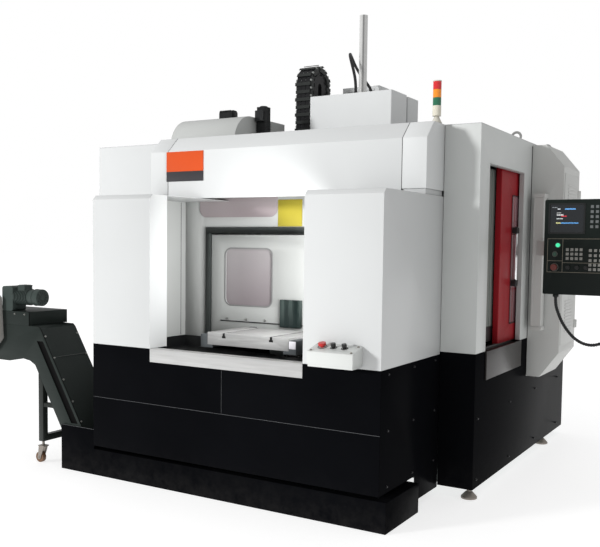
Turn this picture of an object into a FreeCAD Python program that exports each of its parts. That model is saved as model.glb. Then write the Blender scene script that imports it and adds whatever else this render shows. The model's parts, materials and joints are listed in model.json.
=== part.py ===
"""Twin-pallet vertical machining centre with a chip conveyor, an operator pendant and a pallet changer.

Millimetres. X runs left to right, Y from the loading front to the rear, Z up from the floor.
X = 0 is the middle plane of the spindle, the pallets and the cabin.
"""
import FreeCAD, Part
import math
import os

V = FreeCAD.Vector

# ---------------------------------------------------------------- cabin
sheet = 3.0                 # folded sheet of the cabin
seam = 0.8                  # joint between neighbouring covers
seat = 0.3                  # air left between a moving piece and what it passes or rests on
run_fit = 0.05              # radial clearance of a shaft in its bore
opening_half = 560.0        # half the width of the loading opening
pillar_width = 485.0
front_y = -1496.0           # front plane of the pillars
front_depth = 854.0         # loading bay, front plane to partition plane
beam_setback = 572.0
base_top = 889.0            # top of the black base
lip_height = 84.0           # steel threshold under the loading opening
pillar_top = 1860.0
beam_low = 1865.0
beam_cap_low = 1894.0
beam_high = 2192.0
roof_top = 2296.0
beam_chamfer = 107.0
cap_width = 156.0
pillar_bevel = 28.0
pillar_return = 168.0
side_step = 229.0           # how far the rear cabin stands out past the front block, on the right
magazine_step = 773.0       # the same on the left, where the cabin holds the tool magazine
cabin_depth = 2112.0        # rear cabin, partition plane to back wall
rear_ledge = 146.0          # how far the black base stands out behind the white cabin
rear_base_low = 66.0
front_panel_low = 205.0
front_panel_seam = 537.0
side_panel_low = 54.0
wall_low = 905.0            # lower edge of the rear cabin's white walls

front_half = opening_half + pillar_width
post_y = front_y + front_depth
beam_y = front_y + beam_setback
side_half = front_half + side_step
left_half = front_half + magazine_step
cabin_back = post_y + cabin_depth
rear_y = cabin_back + rear_ledge

# ---------------------------------------------------------------- operator door on the right
door_setback = 180.0        # partition plane to the opening in the side wall
door_width = 762.0
door_head = 2070.0
leaf_recess = 44.0
leaf_thickness = 40.0
leaf_overlap = 30.0
leaf_parked = 421.0         # how far the leaf stands open
leaf_low = 912.0
leaf_high = 2095.0
leaf_window_low = 1040.0
leaf_window_high = 1899.0
leaf_window_width = 268.0
handle_low = 1285.0
handle_high = 1695.0
handle_radius = 11.0

door_front_y = post_y + door_setback
door_back_y = door_front_y + door_width

# ---------------------------------------------------------------- loading bay and pallet changer
bay_half = front_half - 90.0
tray_floor = 800.0
tray_rim = 880.0
seal_width = 45.0
seal_outer = 759.0          # half width over the partition seal
seal_top = 1674.0
partition_gap = 8.0
partition_thickness = 30.0
pallet_width = 610.0
pallet_depth = 410.0
pallet_top = 990.0
pallet_thickness = 80.0
pallet_reach = 385.0        # changer axis to pallet centre
slot_offset = 178.0
slot_mouth = 18.0
slot_wide = 30.0
slot_deep = 34.0
changer_lift = 60.0
fork_width = 54.0
fork_ledge = 40.0
beam_height = 50.0

# ---------------------------------------------------------------- bed, column and axes
bed_top = 560.0
bed_half = 620.0
bed_margin = 56.0           # bed to the back of the black base
slab_top = 160.0
wall = 35.0                 # thickness of the cast walls
bed_ribs = 3                # bays between the cross walls
hub_outer = 130.0
shaft_radius = 80.0
changer_well = 25.0         # how deep the lift shaft's foot sinks into the bed
column_setback = 1202.0     # partition plane to the column's front face
column_half = 330.0
column_depth = 640.0
column_top = 2250.0
rail_width = 45.0
rail_height = 30.0
saddle_half = 450.0
saddle_depth = 400.0
saddle_height = 100.0
table_half = 325.0
table_height = 80.0
screw_radius = 12.0
spindle_reach = 620.0       # column face to spindle axis
nose_z = 1700.0
spindle_radius = 45.0
head_half = 150.0

bed_back_y = rear_y - bed_margin
column_y = post_y + column_setback
spindle_y = column_y - spindle_reach

# ---------------------------------------------------------------- roof equipment
cover_half = 344.0
cover_setback = 456.0       # cover's front to the column's front face
cover_depth = 275.0
cover_top = 2690.0
tube_x = 33.0
tube_setback = 146.0        # tube's axis behind the cover's front
tube_radius = 30.5
tube_top = 3290.0
hose_radius = 11.0
disc_z = 1995.0
disc_radius = 390.0
hood_reach = 420.0          # hood's front to the disc's axis
hood_depth = 695.0
hood_curve = 215.0          # radius of the hood's front shoulder
hood_top = 2511.0
hood_left = -1235.0
hood_right = -640.0
chain_left = -500.0
chain_width = 140.0
chain_setback = 85.0        # chain's back to the column's front face
chain_bend = 170.0
chain_thickness = 46.0
chain_crown = 2970.0
chain_low = 2215.0
tower_inset = 35.0          # from the cabin's right edge
tower_setback = 54.0        # in front of the partition plane
tower_radius = 26.0

cover_front_y = column_y - cover_setback
tube_y = cover_front_y + tube_setback
disc_y = spindle_y
hood_front_y = disc_y - hood_reach
hood_back_y = hood_front_y + hood_depth
chain_front_y = column_y - chain_setback - 2 * chain_bend
tower_x = front_half - tower_inset
tower_y = post_y - tower_setback

# ---------------------------------------------------------------- magazine and motors behind the roof
disc_x = -860.0
magazine_motor_x0 = -638.0
magazine_motor_x1 = -556.0
magazine_motor_y0 = disc_y - 138.0
magazine_motor_y1 = magazine_motor_y0 + 82.0
arm_x = -300.0              # axis of the tool change arm
arm_low = 1645.0            # underside of its blade, below the spindle nose
z_motor_half = 50.0

# ---------------------------------------------------------------- chip conveyor and tank
tank_left = -front_half - 322.0
tank_right = front_half + 34.0
tank_y = front_y + 20.0
tank_depth = 456.0
tank_top = 175.0
tank_box_top = 308.0
tank_box_right = -front_half - 15.0
tank_wall = 4.0
flank_step = 10.0           # the flank sheets start this far behind the tank
bed_front_y = tank_y + tank_depth + seat
conveyor_y = tank_y + 15.0
conveyor_width = 330.0
casing_thickness = 180.0
head_left = -front_half - 1155.0
lid_top = 1058.0            # raised lid of the conveyor's head
casing_side = 11.0          # the casing's side plates with their framing
channel_depth = 8.0
head_low = 690.0
head_top = 962.0
flat_height = 150.0
caster_radius = 37.5

# ---------------------------------------------------------------- pendant and cabinet
cabinet_y = door_back_y + 174.0
cabinet_depth = 476.0
cabinet_right = side_half + 228.0
pendant_left = side_half + 300.0
pendant_right = pendant_left + 626.0
pendant_y = door_front_y + 166.0
pendant_depth = 90.0
pendant_low = 1270.0
pendant_high = 1850.0
post_half = 37.5
post_x = side_half + 83.0
post_low = 1000.0
post_high = 1905.0
hub_x = (pendant_left + pendant_right) / 2
hub_y = pendant_y + 146.0
hub_low = 1450.0
hub_high = 1670.0
hub_radius = 45.0
pin_radius = 15.0

os.makedirs("parts", exist_ok=True)


# ---------------------------------------------------------------- shapes
def block(x0, x1, y0, y1, z0, z1):
    return Part.makeBox(x1 - x0, y1 - y0, z1 - z0, V(x0, y0, z0))


def rod(x, y, z, radius, length, axis="z"):
    direction = {"x": V(1, 0, 0), "y": V(0, 1, 0), "z": V(0, 0, 1)}[axis]
    return Part.makeCylinder(radius, length, V(x, y, z), direction)


def prism(points, axis, start, length):
    """A straight bar with the outline points, given in the two axes other than its own."""
    place = {"x": lambda a, b: V(start, a, b), "y": lambda a, b: V(a, start, b), "z": lambda a, b: V(a, b, start)}
    corners = [place[axis](a, b) for a, b in points]
    face = Part.Face(Part.makePolygon(corners + corners[:1]))
    run = {"x": V(length, 0, 0), "y": V(0, length, 0), "z": V(0, 0, length)}[axis]
    return face.extrude(run)


def folded(points, thickness):
    """Closed outline of a bent sheet: the line through the points, thickened to its left."""
    inner = []
    for i, (a, b) in enumerate(points):
        turns = []
        for j in (i - 1, i):
            if 0 <= j < len(points) - 1:
                da = points[j + 1][0] - points[j][0]
                db = points[j + 1][1] - points[j][1]
                size = math.hypot(da, db)
                turns.append((-db / size, da / size))
        na = sum(t[0] for t in turns) / len(turns)
        nb = sum(t[1] for t in turns) / len(turns)
        scale = thickness / (na * na + nb * nb)
        inner.append((a + na * scale, b + nb * scale))
    return points + inner[::-1]


def join(shapes):
    whole = shapes[0].multiFuse(shapes[1:])
    return whole.removeSplitter()


def cut(shape, tools):
    return shape.cut(Part.makeCompound(tools))


def soften(shape, radius, axis, low=-1e9, high=1e9):
    """Rounds the edges that run along an axis and whose middle lies between low and high in Z."""
    way = {"x": V(1, 0, 0), "y": V(0, 1, 0), "z": V(0, 0, 1)}[axis]
    edges = []
    for edge in shape.Edges:
        if len(edge.Vertexes) == 2 and low <= edge.CenterOfMass.z <= high:
            line = edge.Vertexes[1].Point.sub(edge.Vertexes[0].Point)
            if line.Length > 1e-6 and abs(line.normalize().dot(way)) > 0.999:
                edges.append(edge)
    return shape.makeFillet(radius, edges)


def rounded(x0, x1, y0, y1, z0, z1, radius, axis):
    return soften(block(x0, x1, y0, y1, z0, z1), radius, axis)


def mirrored(shape):
    return shape.mirror(V(0, 0, 0), V(1, 0, 0))


def save(name, *solids):
    shape = solids[0] if len(solids) == 1 else Part.makeCompound(list(solids))
    shape.exportStep(f"parts/{name}.step")
    print(f"{name}: {len(shape.Solids)} solids, {shape.Volume / 1e6:.3f} litres")


def cabin_corner(outer, back):
    """Plan of one side of the rear cabin: its front face, a corner and the side wall back to a given Y."""
    return folded([(front_half + seam, post_y), (outer, post_y), (outer, back)], sheet)


# ---------------------------------------------------------------- black base
def base_panels():
    """Black sheets of the base: three on the front, the flanks, the rear cabin's skirts and the back."""
    lower = block(-front_half, front_half, front_y, front_y + sheet, front_panel_low, front_panel_seam - seam / 2)
    upper = block(seam / 2, front_half, front_y, front_y + sheet, front_panel_seam + seam / 2, base_top - seam)
    upper = cut(upper, [block(0, opening_half, front_y - 1, front_y + sheet + 1, base_top - lip_height - seam, base_top)])

    flank = [
        (front_y + sheet + seam, front_panel_low),
        (tank_y + tank_depth + flank_step, front_panel_low),
        (tank_y + tank_depth + flank_step, side_panel_low),
        (post_y - seam, side_panel_low),
        (post_y - seam, base_top - seam),
        (front_y + sheet + seam, base_top - seam),
    ]
    flank_plate = prism(flank, "x", front_half - sheet, sheet)
    skirt_high = wall_low - seam
    skirts = []
    for outer in (side_half, left_half):
        skirts.append(prism(cabin_corner(outer, rear_y), "z", rear_base_low, skirt_high - rear_base_low))
    ledge = [(rear_y, rear_base_low), (rear_y, skirt_high), (cabin_back - wall, skirt_high)]
    back = prism(folded(ledge, sheet), "x", -left_half + sheet, left_half + side_half - 2 * sheet)
    front = [lower, upper, mirrored(upper)]
    save("base_panels", *front, flank_plate, mirrored(flank_plate), skirts[0], mirrored(skirts[1]), back)


# ---------------------------------------------------------------- white cabin
def pillar():
    """Front corner cover: front face, top, outer side and a short return beside the opening."""
    outline = [
        (front_y, base_top),
        (front_y, pillar_top - pillar_bevel),
        (front_y + pillar_bevel, pillar_top),
        (post_y - seam, pillar_top),
        (post_y - seam, base_top),
    ]
    slope = sheet * math.tan(math.pi / 8)
    hollow = [
        (front_y + sheet, base_top - 1),
        (front_y + sheet, pillar_top - pillar_bevel - slope),
        (front_y + pillar_bevel + slope, pillar_top - sheet),
        (post_y + 1, pillar_top - sheet),
        (post_y + 1, base_top - 1),
    ]
    shell = prism(outline, "x", opening_half, pillar_width)
    inside = prism(hollow, "x", opening_half + sheet, pillar_width - 2 * sheet)
    side_cut = block(opening_half - 1, opening_half + sheet + 1, front_y + pillar_return, post_y + 1,
                     base_top - 1, pillar_top - sheet)
    lap = block(opening_half - 1, bay_half + 1, post_y - 12, post_y + 1, pillar_top - sheet - 1, pillar_top + 1)
    return cut(shell, [inside, side_cut, lap])


def beam_covers():
    """The header over the loading opening: one long panel and a cap at each end."""
    half = front_half - cap_width
    line = [
        (beam_y + 45, beam_low),
        (beam_y, beam_low),
        (beam_y, beam_high),
        (beam_y + beam_chamfer, roof_top),
        (post_y - seam, roof_top),
    ]
    profile = folded(line, -sheet)
    panel = prism(profile, "x", -half, 2 * half)
    cap_line = [
        (post_y - seam, beam_cap_low),
        (beam_y, beam_cap_low),
        (beam_y, beam_high),
        (beam_y + beam_chamfer, roof_top),
        (post_y - seam, roof_top),
    ]
    cap_fold = [(post_y - 12, beam_cap_low)] + cap_line[1:]
    cap = prism(folded(cap_fold, -sheet), "x", half + seam, cap_width - seam)
    end = prism(cap_line, "x", front_half - sheet, sheet)
    cap = join([cap, end])
    save("beam_covers", panel, cap, mirrored(cap))


def roof_covers():
    """Flat roof of the rear cabin in four lifting panels, with wells for what stands through it."""
    left = hood_left + 20
    right = cover_half + 180
    front = hood_front_y
    back = column_y + column_depth
    top = roof_top
    under = roof_top - sheet
    panels = [
        block(-left_half, side_half, post_y, front - seam, under, top),
        block(-left_half, side_half, back + seam, cabin_back, under, top),
        block(-left_half, left - seam, front, back, under, top),
        block(right + seam, side_half, front, back, under, top),
    ]
    centre = block(left, right, front, back, under, top)
    well = [
        block(left + 30, hood_right - 30, hood_front_y + 30, hood_back_y - sheet, under - 1, top + 1),
        block(magazine_motor_x0 - 8, magazine_motor_x1 + 8, magazine_motor_y0 - 8, magazine_motor_y1 + 8,
              under - 1, top + 1),
        block(chain_left - 6, chain_left + chain_width + 6, chain_front_y - 6,
              chain_front_y + 2 * chain_bend + 6, under - 1, top + 1),
        block(-z_motor_half - 10, z_motor_half + 10, column_y - 113, column_y + 30, under - 1, top + 1),
    ]
    centre = cut(centre, well)
    rear_box = hollow_box(-242, 80, column_y - 115, column_y + 215, top, 2800)
    side_box = hollow_box(200, cover_half, column_y - 160, column_y + 40, top, 2684)
    save("roof_covers", *panels, centre, rear_box, side_box)


def hollow_box(x0, x1, y0, y1, z0, z1):
    """Sheet box, open below."""
    shell = rounded(x0, x1, y0, y1, z0, z1, 8, "z")
    return cut(shell, [block(x0 + sheet, x1 - sheet, y0 + sheet, y1 - sheet, z0 - 1, z1 - sheet)])


def side_walls():
    """Right wall with the operator's door opening, and a plain left wall and rear wall."""
    height = roof_top - sheet - seat - wall_low
    right = prism(cabin_corner(side_half, cabin_back - sheet), "z", wall_low, height)
    door_hole = block(side_half - 2 * sheet, side_half + 1, door_front_y, door_back_y, wall_low - 1, door_head)
    save("side_wall_right", cut(right, [door_hole]))
    left = mirrored(prism(cabin_corner(left_half, cabin_back - sheet), "z", wall_low, height))
    back = block(-left_half, side_half, cabin_back - sheet, cabin_back, wall_low, wall_low + height)
    save("left_and_rear_walls", left, back)


def sills():
    """Steel threshold of the loading opening, the side door's sill and its two tracks."""
    lip = [
        (front_y + 70, base_top),
        (front_y, base_top),
        (front_y, base_top - lip_height),
        (front_y + 40, base_top - lip_height),
    ]
    threshold = prism(folded(lip, sheet), "x", -opening_half + seam, 2 * (opening_half - seam))
    inner_x = side_half - leaf_recess - leaf_thickness
    sill = block(side_half, side_half + 12, door_front_y, door_back_y, wall_low - 180, wall_low - seam)
    track_back = door_back_y + 900
    tracks = []
    for z0, z1, flange in ((leaf_low - 25, leaf_low - seat, leaf_low - 25), (leaf_high + seat, leaf_high + 25, leaf_high + 19)):
        rail = block(inner_x + 8, inner_x + 32, door_front_y - 40, track_back, z0, z1)
        ledge = block(inner_x + 8, side_half - sheet, door_front_y - 40, track_back, flange, flange + 6)
        tracks.append(join([rail, ledge]))
    save("sills_and_tracks", threshold, sill, *tracks)


# ---------------------------------------------------------------- operator door
def operator_door():
    outer_x = side_half - leaf_recess
    inner_x = outer_x - leaf_thickness
    y0 = door_front_y - leaf_overlap + leaf_parked
    y1 = door_back_y + leaf_overlap + leaf_parked
    leaf = rounded(inner_x, outer_x, y0, y1, leaf_low, leaf_high, 6, "z")
    leaf = cut(leaf, [block(inner_x - 1, outer_x - sheet, y0 + sheet, y1 - sheet, leaf_low + sheet, leaf_high - sheet)])
    centre_y = (y0 + y1) / 2 + 66
    w0 = centre_y - leaf_window_width / 2
    w1 = centre_y + leaf_window_width / 2
    window = rounded(inner_x, outer_x + 1, w0, w1, leaf_window_low, leaf_window_high, 30, "x")
    leaf = cut(leaf, [window])
    save("operator_door", leaf)
    lap = 18.0
    pane = rounded(outer_x - sheet - 6, outer_x - sheet, w0 - lap, w1 + lap,
                   leaf_window_low - lap, leaf_window_high + lap, 40, "x")
    save("door_window", pane)
    bar_y = w0 - 55
    bar_x = outer_x + 22
    bar = rod(bar_x, bar_y, handle_low, handle_radius, handle_high - handle_low)
    mounts = []
    for z in (handle_low + 4, handle_high - 44):
        foot = rounded(outer_x, bar_x + 16, bar_y - 34, bar_y + 16, z, z + 40, 6, "z")
        mounts.append(cut(foot, [rod(bar_x, bar_y, z - 1, handle_radius, 42)]))
    save("door_handle", bar, *mounts)


# ---------------------------------------------------------------- loading bay
def bay_tray():
    """Black drip tray under the front pallet, with a raised rim against the bay walls."""
    y0 = front_y + 80
    y1 = post_y - 14
    half = bay_half - sheet - seat
    outer = block(-half, half, y0, y1, tray_floor, tray_rim)
    inner = block(-half + sheet, half - sheet, y0 + sheet, y1 - sheet, tray_floor + sheet, tray_rim + 1)
    gate = block(-seal_outer, seal_outer, y1 - 2 * sheet, y1 + 1, tray_floor + sheet, tray_rim + 1)
    hub = rod(0, post_y, tray_floor - 1, 140, 200)
    notch = block(-fork_outer - 6, fork_outer + 6, post_y - 66, y1 + 1, tray_floor - 1, tray_rim + 1)
    save("bay_tray", cut(outer, [inner, gate, hub, notch]))


def bay_walls():
    side = block(bay_half - sheet, bay_half, front_y + pillar_return, post_y - seam - sheet, tray_floor - 60, pillar_top - sheet)
    back = block(-bay_half, bay_half, post_y - seam - sheet, post_y - seam, tray_floor - 60, roof_top - sheet)
    gate = block(-seal_outer, seal_outer, post_y - 20, post_y + 1, tray_floor - 61, seal_top)
    glass = rounded(-800, -172, post_y - 20, post_y + 1, 1762, 2040, 45, "y")
    save("bay_walls", side, mirrored(side), cut(back, [gate, glass]))
    pane = rounded(-818, -154, post_y - seam - sheet - 6, post_y - seam - sheet, 1744, 2058, 60, "y")
    save("upper_window", pane)


def seal_frame():
    """Rubber labyrinth round the turning partition: two uprights and a head."""
    y0 = post_y - 20
    y1 = post_y + 20
    inner = seal_outer - seal_width
    low = tray_rim + 10
    upright = block(inner, seal_outer - 0.5, y0, y1, low, seal_top - seal_width)
    head = block(-seal_outer + 0.5, seal_outer - 0.5, y0, y1, seal_top - seal_width, seal_top - 0.5)
    save("partition_seal", upright, mirrored(upright), head)


# ---------------------------------------------------------------- pallet changer
fork_inner = pallet_width / 2 + 1
fork_outer = fork_inner + fork_width
pallet_under = pallet_top - pallet_thickness
cross_low = pallet_under - 5 - beam_height


def pallet_arm():
    """H-shaped fork: a cross beam on the lift shaft and two long fork bars with ledges."""
    reach = pallet_reach + pallet_depth / 2
    bars = []
    for sign in (1, -1):
        bar = block(fork_inner, fork_outer, post_y - reach, post_y + reach, pallet_under - 20, pallet_top - 15)
        shelf = block(fork_inner - fork_ledge, fork_inner + 1, post_y - reach, post_y + reach,
                      pallet_under - 20, pallet_under)
        piece = join([bar, shelf])
        bars.append(piece if sign > 0 else mirrored(piece))
    cross = block(-fork_outer, fork_outer, post_y - 60, post_y + 60, cross_low + seat, pallet_under - 5)
    slot = block(-fork_outer - 1, fork_outer + 1, post_y - partition_thickness / 2 - 0.5,
                 post_y + partition_thickness / 2 + 0.5, pallet_under - 5, pallet_top)
    arm = cut(join(bars + [cross]), [slot])
    save("changer_arm", arm)
    shaft = rod(0, post_y, bed_top + 40, shaft_radius, cross_low - bed_top - 40)
    save("lift_shaft", shaft)


def pallet(centre_y):
    plate = block(-pallet_width / 2, pallet_width / 2, centre_y - pallet_depth / 2, centre_y + pallet_depth / 2,
                  pallet_under, pallet_top)
    plate = soften(plate, 3, "x", pallet_top - 1, pallet_top + 1)
    slots = []
    for x in (-slot_offset, slot_offset):
        y0 = centre_y - pallet_depth / 2 - 1
        y1 = centre_y + pallet_depth / 2 + 1
        slots.append(block(x - slot_mouth / 2, x + slot_mouth / 2, y0, y1, pallet_top - slot_deep, pallet_top + 1))
        slots.append(block(x - slot_wide / 2, x + slot_wide / 2, y0, y1, pallet_top - slot_deep, pallet_top - 20))
    return cut(plate, slots)


def partition():
    half = seal_outer - seal_width - partition_gap
    top = seal_top - seal_width - partition_gap
    y0 = post_y - partition_thickness / 2
    y1 = post_y + partition_thickness / 2
    low = pallet_under - 5
    panel = block(-half, half, y0, y1, low, top)
    hole = rounded(-583, -185, y0 - 1, y1 + 1, 1121, 1524, 50, "y")
    twin = rounded(185, 583, y0 - 1, y1 + 1, 1121, 1524, 50, "y")
    save("partition_panel", cut(panel, [hole, twin]))
    panes = []
    for x0, x1 in ((-583, -185), (185, 583)):
        panes.append(rounded(x0 + 0.2, x1 - 0.2, post_y - 3, post_y + 3, 1121.2, 1523.8, 49.8, "y"))
    save("partition_windows", *panes)


# ---------------------------------------------------------------- bed and column
def bed_casting():
    """Bed of cast walls under a top plate, a floor plate on each side, the changer's hub and the screw's brackets."""
    low = side_panel_low + 30
    plate_low = bed_top - wall
    walls = []
    for sign in (1, -1):
        x = sign * (bed_half - wall / 2)
        walls.append(block(x - wall / 2, x + wall / 2, bed_front_y, bed_back_y, low, plate_low))
    rib_pitch = (bed_back_y - bed_front_y - wall) / bed_ribs
    for i in range(bed_ribs + 1):
        y0 = bed_front_y + i * rib_pitch
        walls.append(block(-bed_half + wall, bed_half - wall, y0, y0 + wall, low, plate_low))
    floors = [
        block(-left_half + sheet, -bed_half, post_y + sheet, bed_back_y, low, slab_top),
        block(bed_half, side_half - sheet, post_y + sheet, bed_back_y, low, slab_top),
    ]
    well = rod(0, post_y, bed_top - changer_well, shaft_radius + run_fit, 400)
    top = cut(block(-bed_half, bed_half, bed_front_y, bed_back_y, plate_low, bed_top), [well])
    hub = cut(rod(0, post_y, bed_top, hub_outer, tray_floor - 20 - bed_top), [well])
    brackets = []
    for y0, y1 in ((saddle_front - 45, saddle_front - 15), (column_y - 180, column_y - 140)):
        bracket = block(-45, 45, y0, y1, bed_top, bed_top + rail_height - 1)
        screw = rod(0, y0 - 1, bed_top + 15, screw_radius + run_fit, y1 - y0 + 2, "y")
        brackets.append(cut(bracket, [screw]))
    save("bed_casting", *walls, *floors, top, hub, *brackets)


def column_casting():
    body = block(-column_half, column_half, column_y, column_y + column_depth, bed_top, column_top)
    rooms = []
    floors = 4
    step = (column_top - bed_top - wall) / floors
    for i in range(floors):
        z0 = bed_top + wall + i * step
        rooms.append(block(-column_half + wall, column_half - wall, column_y + wall, column_y + column_depth + 1,
                           z0, z0 + step - wall))
    blocks = []
    for z0, z1 in ((1090.0, 1130.0), (2210.0, column_top)):
        blocks.append(block(-45, 45, column_y - 95, column_y + 1, z0, z1))
    chain_foot = block(-column_half - 175, -column_half + 1, chain_front_y + 2 * chain_bend + seat + 92,
                       column_y + 60, chain_low - 30, chain_low + 25)
    whole = join([body, chain_foot] + blocks)
    screw = rod(0, column_y - 60, 1080, screw_radius + run_fit, 1300)
    save("column_casting", cut(whole, rooms + [screw]))


def levelling_feet():
    feet = []
    spots = [(x, y) for x in (side_half - 39, -left_half + 39) for y in (post_y + 56, cabin_back - 346)]
    spots += [(sx * (bed_half - wall / 2), bed_front_y + 60) for sx in (1, -1)]
    for x, y in spots:
        under = side_panel_low + 30
        bell = Part.makeCone(50, 22, 30, V(x, y, 12))
        feet.append(join([rod(x, y, 0, 50, 12), bell, rod(x, y, 40, 15, under - 40)]))
    save("levelling_feet", *feet)


# ---------------------------------------------------------------- linear axes
saddle_front = spindle_y - 401.0
saddle_back = saddle_front + saddle_depth
table_y = (saddle_front + saddle_back) / 2
saddle_low = bed_top + rail_height + seat
saddle_top = saddle_low + saddle_height
table_low = saddle_top + rail_height + seat
table_top = table_low + table_height


def axis_fittings():
    """Guide rails of the bed and the column, with the two servo motors that stand on them."""
    rails = []
    for x in (-260.0, 260.0):
        rails.append(block(x - rail_width / 2, x + rail_width / 2, saddle_front - 14, column_y - 185, bed_top, bed_top + rail_height))
    for x in (-130.0, 130.0):
        rails.append(block(x - rail_width / 2, x + rail_width / 2, column_y - rail_height, column_y, 1140, 2200))
    y_motor = rounded(-55, 55, column_y - 140, column_y - 15, bed_top, bed_top + 110, 8, "y")
    y_motor = cut(y_motor, [rod(0, column_y - 145, bed_top + 15, screw_radius + run_fit, 62, "y")])
    z_motor = rounded(-z_motor_half, z_motor_half, column_y - 60 - z_motor_half, column_y - 60 + z_motor_half,
                      column_top, column_top + 210, 8, "z")
    z_motor = cut(z_motor, [rod(0, column_y - 60, column_top - 1, screw_radius + run_fit, 62)])
    save("axis_fittings", *rails, y_motor, z_motor)


def saddle():
    body = block(-saddle_half, saddle_half, saddle_front, saddle_back, saddle_low, saddle_top)
    nut = block(-40, 40, table_y - 45, table_y + 45, bed_top + 1.5, saddle_low + 1)
    bores = [rod(0, saddle_front - 10, bed_top + 15, screw_radius + run_fit, saddle_depth + 20, "y")]
    ends = []
    for x0 in (-saddle_half, saddle_half - 28):
        ends.append(block(x0, x0 + 28, table_y - 35, table_y + 35, saddle_top - 1, table_low - 2))
    bores.append(rod(-saddle_half - 10, table_y, saddle_top + 15, screw_radius + run_fit, 2 * saddle_half + 20, "x"))
    pocket = block(-saddle_half + wall, saddle_half - wall, saddle_front + wall, saddle_back - wall,
                   saddle_low + 30, saddle_top - 30)
    body = cut(join([body, nut] + ends), bores + [pocket])
    rails = []
    for y in (-130.0, 130.0):
        rails.append(block(-saddle_half, saddle_half, table_y + y - rail_width / 2, table_y + y + rail_width / 2,
                           saddle_top, saddle_top + rail_height))
    motor = rounded(-saddle_half - 130, -saddle_half, table_y - 36, table_y + 36, saddle_top - 44,
                    table_low - 2, 6, "x")
    motor = cut(motor, [rod(-saddle_half - 60, table_y, saddle_top + 15, screw_radius + run_fit, 62, "x")])
    save("saddle", body, *rails, motor)


def work_table():
    body = block(-table_half, table_half, saddle_front, saddle_back, table_low, table_top)
    nut = block(-40, 40, table_y - 38, table_y + 38, saddle_top + 1.5, table_low + 1)
    pads = []
    for x in (-200.0, 200.0):
        for y in (-130.0, 130.0):
            height = pallet_under - changer_lift - table_top - seat
            pads.append(rod(x, table_y + y, table_top - 1, 28, height + 1))
    bore = rod(-50, table_y, saddle_top + 15, screw_radius + run_fit, 100, "x")
    save("work_table", cut(join([body, nut] + pads), [bore]))


def ball_screws():
    save("x_ball_screw", rod(-saddle_half - 50, table_y, saddle_top + 15, screw_radius, 2 * saddle_half + 40, "x"))
    save("y_ball_screw", rod(0, saddle_front - 44, bed_top + 15, screw_radius, 970, "y"))
    save("z_ball_screw", rod(0, column_y - 60, 1095, screw_radius, column_top + 50 - 1095))


def spindle_head():
    front = rounded(-head_half, head_half, spindle_y - 150, column_y - 130, nose_z + 90, nose_z + 340, 20, "z")
    carriage = block(-190, 190, column_y - 131, column_y - rail_height - seat, nose_z + 10, column_top - 50)
    carriage = cut(carriage, [block(-52, 52, column_y - 101, column_y, nose_z - 10, column_top)])
    nut = block(-40, 40, column_y - 131, column_y - 40, nose_z + 180, nose_z + 300)
    quill = rod(0, spindle_y, nose_z + 12, 85, 90)
    bore = rod(0, spindle_y, nose_z, spindle_radius + run_fit, 300)
    screw = rod(0, column_y - 60, nose_z, screw_radius + run_fit, 600)
    pocket = block(-head_half + wall, head_half - wall, spindle_y + 130, column_y - 180, nose_z + 120, nose_z + 310)
    body = cut(join([front, carriage, nut, quill]), [bore, screw, pocket])
    motor_low = nose_z + 340
    motor = rounded(-95, 95, spindle_y - 95, spindle_y + 95, motor_low, roof_top - sheet - 18, 25, "z")
    motor = cut(motor, [rod(0, spindle_y, motor_low - 1, spindle_radius + run_fit, 31)])
    save("spindle_head", body, motor)
    flange = rod(0, spindle_y, nose_z, 62, 11.5)
    taper = Part.makeCone(22, 12, 80, V(0, spindle_y, nose_z))
    save("spindle", cut(join([flange, rod(0, spindle_y, nose_z + 5, spindle_radius, 285)]), [taper]))


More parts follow.
